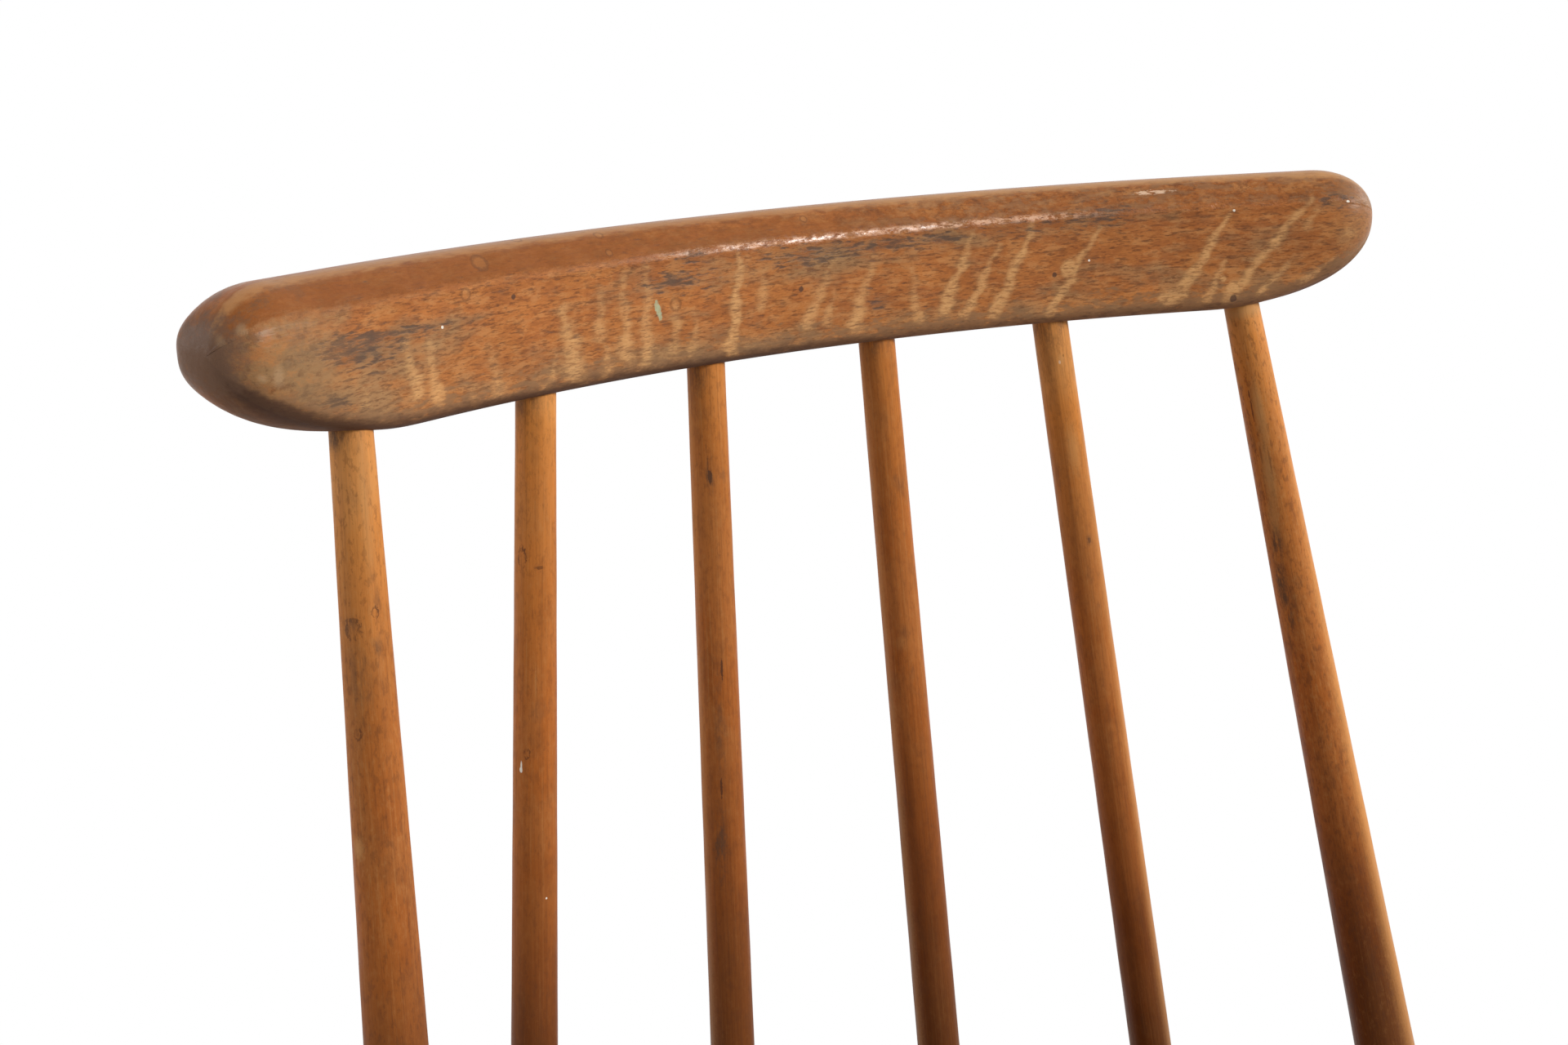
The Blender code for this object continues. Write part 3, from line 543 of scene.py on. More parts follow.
def lengths(x, y):
    """Length of a line of points up to each of them."""
    return np.concatenate([[0], np.cumsum(np.hypot(np.diff(x), np.diff(y)))])


def line_at(wanted, x, y):
    """Points of a line at the wanted lengths along it."""
    run = lengths(x, y)
    return np.interp(wanted, run, x), np.interp(wanted, run, y)


def superellipse(angle, half_width, depth, squareness):
    """Point of a superellipse: each part is the cosine or sine to the power of two over the squareness."""
    waves = np.cos(angle), np.sin(angle)
    across, back = (np.sign(part) * np.abs(part) ** (2 / squareness) for part in waves)
    return half_width * across, depth * back


def bell_cover(patches, x, y):
    """Cover by patches: a sum of bell curves of the distance from each, in its own half sizes, up to 1."""
    cover = 0
    for (middle_x, middle_y), half_x, half_y, strength in patches:
        far = ((x - middle_x) / half_x) ** 2 + ((y - middle_y) / half_y) ** 2
        cover = cover + strength * np.exp(-far)
    return np.clip(cover, 0, 1)


def level(height):
    """Level surface at this height."""
    return lambda x, y: np.full_like(x, height)


def stations(low, high, step):
    """Heights from low to high about a step apart, with a few more on the rounded arris of each end."""
    near = ARRIS * (1 - np.cos(np.linspace(0, math.pi / 2, ARRIS_STATIONS)))
    middle = np.linspace(low + ARRIS, high - ARRIS, max(2, round((high - low) / step)))[1:-1]
    return np.concatenate([low + near, middle, high - near[::-1]])


def capped(heights):
    """Heights with those of the end discs' rings, and the size of each ring as a share of the full one."""
    disc = np.linspace(FIRST_CAP_RING, 1, CAP_RINGS, endpoint=False)
    size = np.concatenate([disc, np.ones(len(heights)), disc[::-1]])
    return np.pad(heights, CAP_RINGS, mode="edge"), size


def cone(length, radii):
    """Radius that goes evenly from the second one at height 0 to the first one at the length."""
    head, foot = radii
    return lambda height: foot + (head - foot) * np.clip(height / length, 0, 1)


def swelled(radius_low, low, radius_swell, swell, radius_high, high):
    """Radius of a turned swell: it falls off by the square of the way from the swell to either end."""

    def radius(height):
        below = radius_swell - (radius_swell - radius_low) * ((swell - height) / (swell - low)) ** 2
        above = radius_swell - (radius_swell - radius_high) * ((height - swell) / (high - swell)) ** 2
        return np.where(height < swell, below, above)

    return radius


def make_turned(node, place, span, radius, top, build, material, shift, start=None, end=None):
    """Turned piece: at each height along the axis a ring of the radius there, closed by discs.

    The angle round the ring runs from the back over the left, the front and the right. The radius has a
    faint waver from the lathe. start and end are surfaces that the ends are cut to: rings near such an end
    are slid along the axis, less and less, so that the last one lies in the surface.
    """
    sides, step, slot = build
    angle = np.linspace(-math.pi, math.pi, sides + 1)
    heights, size = capped(stations(*span, step))
    from_start, from_end = heights - heights[0], heights[-1] - heights
    waver = np.sin(LATHE_WAVES[0] * heights + shift) * np.sin(LATHE_WAVES[1] * heights + 2 * shift)
    radii = radius(heights) + LATHE_WAVER * waver
    for near in (from_start, from_end):
        radii = radii - ARRIS * (1 - np.sqrt(1 - np.clip(1 - near / ARRIS, 0, 1) ** 2))
    heights, cap = heights[:, None], np.repeat(size[:, None] < 1, sides + 1, axis=1)
    across, back = ((size * radii)[:, None] * part for part in (np.sin(angle), -np.cos(angle)))
    points = place.world(across, back, heights)
    for surface, near, rim in ((start, from_start, CAP_RINGS), (end, from_end, -CAP_RINGS - 1)):
        if surface is not None:
            near = near[:, None, None]
            moved = place.landed(points, surface) - points
            share = np.clip(1 - near / SLIDE_REACH, 0, 1) ** 2
            points = points + np.where(near <= 0, moved, share * moved[rim])
    unrolled, wood = joined(top - heights, angle * radii.max()), joined(across, back, heights) + shift
    add_piece(node, closed_skin(node, points, unrolled, wood=wood, cap=cap), material)


# Seat


def seat_outline():
    """Closed outline at even steps of its length, from the right over the back, the left and the front."""
    angle = np.linspace(0, 2 * math.pi, OUTLINE_STEPS)
    back = superellipse(angle, SEAT_HALF_WIDTH, SEAT_BACK_DEPTH, SEAT_BACK_SQUARENESS)
    front = superellipse(angle, SEAT_HALF_WIDTH, SEAT_FRONT_DEPTH, SEAT_FRONT_SQUARENESS)
    x, y = np.where(angle <= math.pi, back, front)
    x, y = line_at(np.linspace(0, lengths(x, y)[-1], SEAT_SIDES, endpoint=False), x, y)
    return joined(x, y + SEAT_MIDDLE)


def saddle(x, y):
    """Height of the seat's deck: the level deck less the deepest of three flat ellipsoids, softly joined.

    The soft join is the logarithm of the sum of the exponentials of the depths, over a small blend.
    """
    sum_of_depths = np.ones_like(x)
    for across, back, half_width, half_depth, sink in HOLLOWS:
        spread = math.sqrt(1 - ((HOLLOW_CURVE - sink) / HOLLOW_CURVE) ** 2)
        far = ((x - across) / half_width) ** 2 + ((y - SEAT_MIDDLE - back) / half_depth) ** 2
        depth = HOLLOW_CURVE * np.sqrt(np.clip(1 - far * spread**2, 0, 1)) - HOLLOW_CURVE + sink
        sum_of_depths = sum_of_depths + np.exp(depth / HOLLOW_BLEND)
    return SEAT_HEIGHT - HOLLOW_BLEND * np.log(sum_of_depths)


def above_saddle(proud):
    """Surface that stands this far proud of the saddle."""
    return lambda x, y: saddle(x, y) + proud


def seat_skin():
    """Plank: rings of the outline shrunk to the middle, then a quarter round, the edge, and the same below.

    On the rounds the ring is drawn in by the round times one less the sine of the angle, and falls from the
    face by the round times one less the cosine.
    """
    outline = seat_outline()
    step = np.roll(outline, -1, axis=0) - np.roll(outline, 1, axis=0)
    inward = joined(-step[:, 1], step[:, 0]) / np.linalg.norm(step, axis=1)[:, None]
    outline, inward = (np.concatenate([values, values[:1]]) for values in (outline, inward))
    middle = np.array([0, SEAT_MIDDLE - SEAT_RINGS_FORWARD])
    share = np.linspace(FIRST_SEAT_RING, 1, SEAT_RINGS)[:, None, None]
    deck = middle + share * (outline + SEAT_EDGE_ROUND * inward - middle)
    turn = np.linspace(0, math.pi / 2, SEAT_ROUND_RINGS)
    rounded = outline + (SEAT_EDGE_ROUND * (1 - np.sin(turn)))[:, None, None] * inward
    fall = SEAT_EDGE_ROUND * (1 - np.cos(turn))[:, None]
    plan = np.concatenate([deck, rounded[1:], rounded[::-1], deck[-2::-1]])
    x, y = plan[..., 0], plan[..., 1]
    upper = len(deck) + len(turn) - 1
    height = np.full_like(x, UNDERSIDE)
    height[:upper] = saddle(x[:upper], y[:upper])
    height[len(deck) : upper] -= fall[1:]
    height[upper : upper + len(turn)] += fall[::-1]
    on_face = smooth_step(*SEAT_EDGE_BAND, np.linalg.norm(deck - outline, axis=-1))
    on_edge = np.ones((2 * len(turn) - 1, SEAT_SIDES + 1))
    on_top = np.arange(len(x))[:, None] < upper
    reach = FOOT_DIRT_REACH
    feet = [((side * spot[0], spot[1]), reach, reach, 1) for _, side in SIDES for spot in foot_spots()]
    return closed_skin(
        "seat",
        joined(x, y, height),
        plan,
        wood=joined(y, height, x),
        edge=np.concatenate([on_face, on_edge, on_face[-2::-1]]),
        seated=on_top * bell_cover(SITTING_WEAR, x, y - SEAT_MIDDLE),
        soil=on_top * bell_cover(feet, x, y),
    )


# Crest rail


def rail_point(run, out, up):
    """Point at a run along the rail's bent stick line, this far out of it and up, tilted and put in place."""
    angle = run / RAIL_RADIUS
    x = (RAIL_RADIUS + out) * np.sin(angle)
    y = (RAIL_RADIUS + out) * np.cos(angle) - RAIL_RADIUS
    back = SEAT_MIDDLE + RAIL_SETBACK + math.cos(RAIL_TILT) * y + math.sin(RAIL_TILT) * up
    height = SEAT_HEIGHT + RAIL_RISE - math.sin(RAIL_TILT) * y + math.cos(RAIL_TILT) * up
    return joined(x, back, height)


def rail_section():
    """Outline of the rail's section by its length: lower front round, face, fold, bevel, ridge, top and back.

    Each corner is an arc from one tangent point to the other, by sines of its shares of the turn.
    """
    corners = np.array(
        [
            (-RAIL_FRONT, 0),
            (-RAIL_FRONT, RAIL_HEIGHT - RAIL_BEVEL_HEIGHT),
            (RAIL_BEVEL - RAIL_FRONT, RAIL_HEIGHT),
            (RAIL_BACK, RAIL_HEIGHT),
            (RAIL_BACK, 0),
        ]
    )
    rounds = (RAIL_LOWER_ROUND, RAIL_FOLD_ROUND, RAIL_RIDGE_ROUND, RAIL_BACK_ROUND, RAIL_BACK_LOWER_ROUND)
    way = np.linspace(0, 1, CORNER_STEPS)[:, None]
    arcs = []
    for i, radius in enumerate(rounds):
        before, after = corners[i - 1] - corners[i], corners[(i + 1) % len(corners)] - corners[i]
        before, after = before / np.linalg.norm(before), after / np.linalg.norm(after)
        half = math.acos(before @ after) / 2
        middle = corners[i] + (before + after) / np.linalg.norm(before + after) * radius / math.sin(half)
        start = corners[i] + before * radius / math.tan(half) - middle
        stop = corners[i] + after * radius / math.tan(half) - middle
        turn = math.pi - 2 * half
        arcs.append(middle + (np.sin((1 - way) * turn) * start + np.sin(way * turn) * stop) / math.sin(turn))
    outline = np.concatenate(arcs + [arcs[0][:1]]).T
    whole = lengths(*outline)[-1]
    seen = np.arange(0, RAIL_SEEN, RAIL_FRONT_STEP)
    hidden = np.linspace(seen[-1], whole, round((whole - seen[-1]) / RAIL_HIDDEN_STEP) + 1)[1:]
    arc = np.concatenate([seen, hidden])
    return *line_at(arc, *outline), arc


def round_off(from_end, length, squareness):
    """Quarter of a superellipse: 0 at an end, 1 from this length on."""
    way = np.clip(1 - from_end / length, 0, 1)
    return (1 - way**squareness) ** (1 / squareness)


def rail_runs():
    """Runs along the rail, even in the middle and by the cosine towards the tips."""
    half, close = RAIL_LENGTH / 2, RAIL_CLOSE_RUNS
    tip = close * (1 - np.cos(np.linspace(FIRST_TIP_ANGLE, math.pi / 2, RAIL_TIP_RUNS)))
    middle = np.linspace(close - half, half - close, round((RAIL_LENGTH - 2 * close) / RAIL_STEP))
    return np.concatenate([tip - half, middle[1:-1], half - tip[::-1]])


def drip_cover(run, arc):
    """Cover by drips: the greatest of the bell curves of the distance over each drip's half width.

    A drip wavers, and grows stronger and wider from its upper end to its lower end.
    """

    def waver(terms, place):
        return sum(size * np.sin(waves * arc + turns * place) for size, waves, turns in terms)

    cover = np.zeros(np.broadcast_shapes(run.shape, arc.shape))
    for (run_a, arc_a), (run_b, arc_b), half_width, strength in DRIP_RUNS:
        step_run, step_arc = run_b - run_a, arc_b - arc_a
        share = ((run - run_a) * step_run + (arc - arc_a) * step_arc) / (step_run**2 + step_arc**2)
        share = np.clip(share, 0, 1)
        bow = waver(DRIP_BOWS, run_a)
        far = np.hypot(run - run_a - share * step_run - bow, arc - arc_a - share * step_arc)
        wide = half_width * (np.interp(share, (0, 1), DRIP_WIDTHS) + waver(DRIP_PULSE, run_a))
        strong = strength * np.interp(share, (0, 1), DRIP_STRENGTHS)
        cover = np.maximum(cover, strong * np.exp(-((far / wide) ** 2)))
    for middle, radius, strength in DRIP_BLOBS:
        far = np.hypot(run - middle[0], arc - middle[1]) / (DRIP_BLOB_SPREAD * radius)
        cover = np.maximum(cover, strength * np.exp(-(far**2)))
    return cover


def rail_skin():
    """Rail: one section carried along the bent stick line, drawn in to a blunt tip at each end.

    Towards a tip the top, the underside, the front and the back close in by quarters of superellipses, and
    the section itself turns into a superellipse: its points move along their rays from the middle of its box.
    On the front a faint wave along and up the face stands for the scraper's marks.
    """
    out, up, arc = rail_section()
    run = rail_runs()[:, None]
    from_end = RAIL_LENGTH / 2 - np.abs(run)
    ends = RAIL_END_TOP, RAIL_END_BOTTOM_LEFT, RAIL_END_BOTTOM_RIGHT, RAIL_END_FRONT, RAIL_END_BACK
    over, left_under, right_under, in_front, behind = (round_off(from_end, *end) for end in ends)
    top = RAIL_TIP_HEIGHT + (RAIL_HEIGHT - RAIL_TIP_HEIGHT) * over
    bottom = RAIL_TIP_HEIGHT * (1 - np.where(run < 0, left_under, right_under))
    middle, half = (RAIL_BACK - RAIL_FRONT) / 2, (RAIL_BACK + RAIL_FRONT) / 2
    across, rise = (out - middle) / half, 2 * up / RAIL_HEIGHT - 1
    front, back = (np.array(tip)[:, None] for tip in (RAIL_TIP_FRONT, RAIL_TIP_BACK))
    reach, squareness = np.where(across < 0, front, back)
    ray = (np.abs(across) ** squareness + np.abs(rise) ** squareness) ** (1 / squareness)
    moved = 1 + smooth_step(reach, 0, from_end) * (1 / ray - 1)
    plan = np.where(across < 0, in_front, behind)
    scraped = smooth_step(*SCRAPE_START, arc) * smooth_step(*SCRAPE_END, arc)
    scraped = RAIL_SCRAPE * scraped * smooth_step(0, SCRAPE_FADE, from_end)
    wave = sum(np.sin(along * run + upwards * arc + shift) for along, upwards, shift in SCRAPE_WAVES)
    spread = middle + half * across * moved * plan - scraped * wave
    height = bottom + (1 + rise * moved) / 2 * (top - bottom)
    return closed_skin(
        "crest_rail",
        rail_point(run, spread, height),
        joined(run, arc),
        wood=joined(spread, height, run),
        drip=drip_cover(run / MILLIMETRE, arc / MILLIMETRE),
        grime=bell_cover(GRIME_PATCHES, run / MILLIMETRE, arc / MILLIMETRE),
        bleach=bell_cover(BLEACHED_PATCHES, run / MILLIMETRE, arc / MILLIMETRE),
    )


# Sticks, legs, stretchers and wedges


def half_spacing(pitch, outer_pitch):
    """Runs from the middle to the inner spindle, the second spindle and the post of one half."""
    return np.array([pitch / 2, 1.5 * pitch, 1.5 * pitch + outer_pitch])


def foot_spots():
    """Feet of the right half, spaced by length along the line set in from the seat's back edge."""
    angle = np.linspace(math.pi / 2, 0, FOOT_LINE_STEPS)
    half_width, depth = SEAT_HALF_WIDTH - FOOT_INSET, SEAT_BACK_DEPTH - FOOT_INSET
    line = superellipse(angle, half_width, depth, SEAT_BACK_SQUARENESS)
    across, back = line_at(half_spacing(FOOT_PITCH, FOOT_PITCH_OUTER), *line)
    return joined(across, back + SEAT_MIDDLE)


def stick_place(sign, number):
    """Place of a stick on the seat's deck, and its length to the rail's underside."""
    spot = foot_spots()[number]
    foot = np.array([sign * spot[0], spot[1], SEAT_HEIGHT])
    head = rail_point(sign * half_spacing(HEAD_PITCH, HEAD_PITCH_OUTER)[number], 0.0, 0.0)
    return Place(foot, head - foot), np.linalg.norm(head - foot)


def make_spindle(node, sign, number, material, shift):
    """Spindle: a cone from seat to rail, with a plain tenon at each end."""
    place, length = stick_place(sign, number)
    span = (-SEAT_TENON, length + RAIL_TENON)
    make_turned(node, place, span, cone(length, SPINDLE_RADII), length, STICK_BUILD, material, shift)


def make_post(node, sign, material, end_material, shift):
    """Post: a cone from rail to seat, then a tenon that tapers through the plank, with its wedge below."""
    place, length = stick_place(sign, POST_NUMBER)
    body, foot = cone(length, POST_RADII), POST_RADII[1]
    end = SEAT_THICKNESS / place.axis[2]

    def radius(height):
        return np.where(height > 0, body(height), foot + (foot - POST_TENON_TIP_RADIUS) * height / end)

    span, below = (-end, length + RAIL_TENON), level(UNDERSIDE - TENON_PROUD)
    make_turned(node, place, span, radius, length, STICK_BUILD, material, shift, start=below)
    tip = Place(place.at(-SEAT_THICKNESS), -place.axis)
    make_wedge(node + "_wedge", tip, POST_TENON_TIP_RADIUS, level(UNDERSIDE - WEDGE_PROUD), end_material)


def make_wedge(node, tip, tip_radius, surface, material):
    """Wedge: a rounded oblong that thickens evenly towards the tenon's end and is pared to the surface."""
    heights, size = (values[:, None] for values in capped(stations(-WEDGE_DEPTH, 0.0, WEDGE_STEP)))
    angle = np.linspace(-math.pi, math.pi, WEDGE_SIDES + 1)
    half_width = tip_radius - WEDGE_SIDE_GAP
    thick = WEDGE_THIN + (WEDGE_THICK - WEDGE_THIN) * (heights + WEDGE_DEPTH) / (WEDGE_DEPTH + CUT_SPARE)
    across, back = superellipse(angle, size * thick / 2, size * half_width, WEDGE_SQUARENESS)
    points = tip.world(across, back, heights)
    share = np.clip(1 + heights / WEDGE_PARED, 0, 1)[..., None]
    points = points + share * (tip.landed(points, surface) - points)
    mesh = closed_skin(node, points, joined(heights, angle * half_width), wood=joined(across, back, heights))
    add_piece(node, mesh, material)


def leg_place(row, sign):
    """Place of a leg on the floor, from the row's inset in the seat and its splay."""
    _, seat_end, outward, inset, splay = row
    across, back = SEAT_HALF_WIDTH - inset[0], seat_end - outward * inset[1] + SEAT_MIDDLE
    foot = np.array([sign * (across + splay[0]), back + outward * splay[1], 0])
    return Place(foot, np.array([sign * across, back, UNDERSIDE]) - foot)


def make_leg(node, place, material, end_material, shift):
    """Leg: a swell from foot to neck, then a tenon that tapers through the plank, with its wedge above."""
    neck, deck, swell = (height / place.axis[2] for height in (UNDERSIDE, SEAT_HEIGHT, LEG_SWELL_HEIGHT))
    body = swelled(LEG_FOOT_RADIUS, -CUT_SPARE, LEG_SWELL_RADIUS, swell, LEG_NECK_RADIUS, neck)

    def radius(height):
        share = (height - neck) / (deck - neck)
        tenon = LEG_NECK_RADIUS + (LEG_TENON_TIP_RADIUS - LEG_NECK_RADIUS) * share
        return np.where(height < neck, body(height), tenon)

    floor, above = level(0.0), above_saddle(TENON_PROUD)
    make_turned(node, place, (0.0, deck), radius, deck, LEG_BUILD, material, shift, start=floor, end=above)
    tip = Place(place.at(SEAT_HEIGHT), place.axis)
    make_wedge(node + "_wedge", tip, LEG_TENON_TIP_RADIUS, above_saddle(WEDGE_PROUD), end_material)


def make_stretcher(node, start, end, radii, entered_radius, material, shift):
    """Stretcher: plain tenons just past the axes that it joins, and a swell between them."""
    span = np.linalg.norm(end - start)
    neck = entered_radius + STRETCHER_NECK
    body = swelled(radii[0], neck, radii[1], span / 2, radii[0], span - neck)

    def radius(height):
        return body(np.clip(height, neck, span - neck))

    ends, place = (-STRETCHER_PAST_AXIS, span + STRETCHER_PAST_AXIS), Place(start, end - start)
    make_turned(node, place, ends, radius, span, LEG_BUILD, material, shift)


# Finishes


class Value:
    """One output of a node. Signs between it and other values or numbers add math nodes."""

    def __init__(self, nodes, node, output=0):
        self.nodes = nodes
        self.node = node
        self.output = output

    def __getitem__(self, output):
        return Value(self.nodes, self.node, output)

    def math(self, operation, *others):
        return self.nodes.put("ShaderNodeMath", (self, *others), operation=operation)

    def __add__(self, other):
        return self.math("ADD", other)

    def __mul__(self, other):
        return self.math("MULTIPLY", other)

    def __sub__(self, other):
        return self.math("SUBTRACT", other)

    def __rsub__(self, other):
        return self.nodes.put("ShaderNodeMath", (other, self), operation="SUBTRACT")

    __radd__ = __add__
    __rmul__ = __mul__

    def ramp(self, low, high):
        """Smooth ramp from 0 at low to 1 at high."""
        return self.nodes.put("ShaderNodeMapRange", (self, low, high, 0, 1), interpolation_type="SMOOTHSTEP")

    def within(self, low, full, last, high):
        """Smooth rise from 0 at low to 1 at full, and fall from 1 at last to 0 at high."""
        return self.ramp(low, full) * self.ramp(high, last)


class Nodes:
    """Short ways to add and join the nodes of one material, world or group."""

    def __init__(self, tree):
        self.tree = tree

    def put(self, kind, given=(), **settings):
        """Adds a node with these settings and feeds its inputs, by order or name: its first output."""
        node = self.tree.nodes.new(kind)
        for name, value in settings.items():
            setattr(node, name, value)
        for key, value in given.items() if isinstance(given, dict) else enumerate(given):
            if isinstance(value, Value):
                self.tree.links.new(value.node.outputs[value.output], node.inputs[key])
            else:
                node.inputs[key].default_value = value
        return Value(self, node)

    def vector(self, operation, *values):
        return self.put("ShaderNodeVectorMath", values, operation=operation)

    def blend(self, share, first, second):
        return self.put("ShaderNodeMix", {0: share, 6: first, 7: second}, data_type="RGBA")[2]

    def noise(self, place, waves, detail=2, roughness=0.5):
        """Noise with this many waves a metre along each part of the place."""
        place = self.vector("MULTIPLY", place, waves)
        given = {"Vector": place, "Scale": 1.0, "Detail": detail, "Roughness": roughness}
        return self.put("ShaderNodeTexNoise", given)

    def seen(self):
        """1 for rays that make up the picture: from the camera, mirrored or let through."""
        path = self.put("ShaderNodeLightPath")
        passed_on = path["Is Glossy Ray"].math("MAXIMUM", path["Is Transmission Ray"])
        return path["Is Camera Ray"].math("MAXIMUM", passed_on)


def new_group(name, given, results):
    """Empty shader group with these inputs, each of a kind, and these outputs: its nodes and its inputs."""
    group = bpy.data.node_groups.new(name, "ShaderNodeTree")
    for socket, kind in given.items():
        group.interface.new_socket(name=socket, in_out="INPUT", socket_type="NodeSocket" + kind)
    for socket in results:
        group.interface.new_socket(name=socket, in_out="OUTPUT", socket_type="NodeSocketFloat")
    nodes = Nodes(group)
    return nodes, nodes.put("NodeGroupInput")


def beech_grain_group():
    """Beech grain along the third part of the blank: slow streaks, fine fibres and short dark flecks."""
    nodes, given = new_group("beech grain", {"Blank": "Vector"}, GRAINS)
    results = {}
    for name, (waves, detail, roughness, step) in GRAINS.items():
        results[name] = nodes.noise(given["Blank"], waves, detail, roughness).ramp(*step)
    nodes.put("NodeGroupOutput", results)
    return nodes.tree


def worn_patch_group():
    """Ragged patches: noise of a given fineness over the blank, above a level set by the cover."""
    kinds = {"Blank": "Vector", "Fineness": "Float", "Cover": "Float"}
    nodes, given = new_group("worn patches", kinds, ("Patch",))
    scaled = {0: given["Blank"], "Scale": given["Fineness"]}
    place = nodes.put("ShaderNodeVectorMath", scaled, operation="SCALE")
    height = PATCH_LEVEL - PATCH_DROP * given["Cover"]
    patch = nodes.noise(place, *PATCH_NOISE).ramp(height - PATCH_SOFT, height + PATCH_SOFT)
    nodes.put("NodeGroupOutput", {"Patch": patch})
    return nodes.tree


def ragged_spot_group():
    """Spot, ring and soft stain: distance from the centre in half sizes, roughened by fine noise."""
    kinds = {"Flat": "Vector", "Centre": "Vector", "Half Size": "Vector", "Rough": "Float"}
    nodes, given = new_group("ragged spot", kinds, ("Spot", "Ring", "Stain"))
    off = nodes.vector("DIVIDE", nodes.vector("SUBTRACT", given["Flat"], given["Centre"]), given["Half Size"])
    waver = nodes.noise(given["Flat"], SPOT_WAVES) - NOISE_MIDDLE
    far = nodes.vector("LENGTH", off)["Value"] + waver * given["Rough"]
    results = {"Spot": far.ramp(*SPOT_EDGE), "Stain": far.ramp(*STAIN_EDGE), "Ring": far.within(*RING_BAND)}
    nodes.put("NodeGroupOutput", results)
    return nodes.tree


GRAIN = beech_grain_group()
WORN = worn_patch_group()
SPOT = ragged_spot_group()


def empty_material(name):
    """Material with nodes and none in it yet."""
    material = bpy.data.materials.new(name)
    material.use_nodes = True
    material.node_tree.nodes.clear()
    return material


class Finish(Nodes):
    """Material of a piece: a first colour, tints laid over it one by one, and one Principled shader."""

    def __init__(self, name):
        self.material = empty_material(name)
        super().__init__(self.material.node_tree)
        self.blank = self.mark("wood")["Vector"]

    def mark(self, name):
        return self.put("ShaderNodeAttribute", attribute_name=name)["Fac"]

    def laid_flat(self):
        """The surface laid flat, in metres, whose parts are the outputs 0 and 1."""
        self.flat = self.put("ShaderNodeUVMap", uv_map="unrolled")
        return self.put("ShaderNodeSeparateXYZ", (self.flat,))

    def rough(self, across, along, detail, roughness):
        """Noise in the blank, with this many waves a metre across and along its grain."""
        return self.noise(self.blank, (across, across, along), detail, roughness)

    def grain(self, blank):
        return self.put("ShaderNodeGroup", {"Blank": blank}, node_tree=GRAIN)

    def worn(self, fineness, cover):
        given = {"Blank": self.blank, "Fineness": fineness, "Cover": cover}
        return self.put("ShaderNodeGroup", given, node_tree=WORN)

    def spot(self, centre, half_size, ragged=0.6):
        """Spot, ring and stain at a place laid flat, in millimetres."""
        centre, half_size = ([part * MILLIMETRE for part in pair] for pair in (centre, half_size))
        given = {"Flat": self.flat, "Centre": (*centre, 0), "Half Size": (*half_size, 1), "Rough": ragged}
        return self.put("ShaderNodeGroup", given, node_tree=SPOT)

    def tint(self, colour, share):
        """Lays a colour over what is there, by its share."""
        self.colour = self.blend(share, self.colour, colour)

    def close(self, roughness, specular, height, depth, **more):
        """Joins it all in a Principled shader, with a bump of the height times the depth: the material."""
        bump = self.put("ShaderNodeBump", {"Strength": 1.0, "Distance": depth, "Height": height})
        given = {"Base Color": self.colour, "Roughness": roughness, "Specular IOR Level": specular}
        given.update(Normal=bump, **more)
        self.put("ShaderNodeOutputMaterial", (self.put("ShaderNodeBsdfPrincipled", given),))
        return self.material


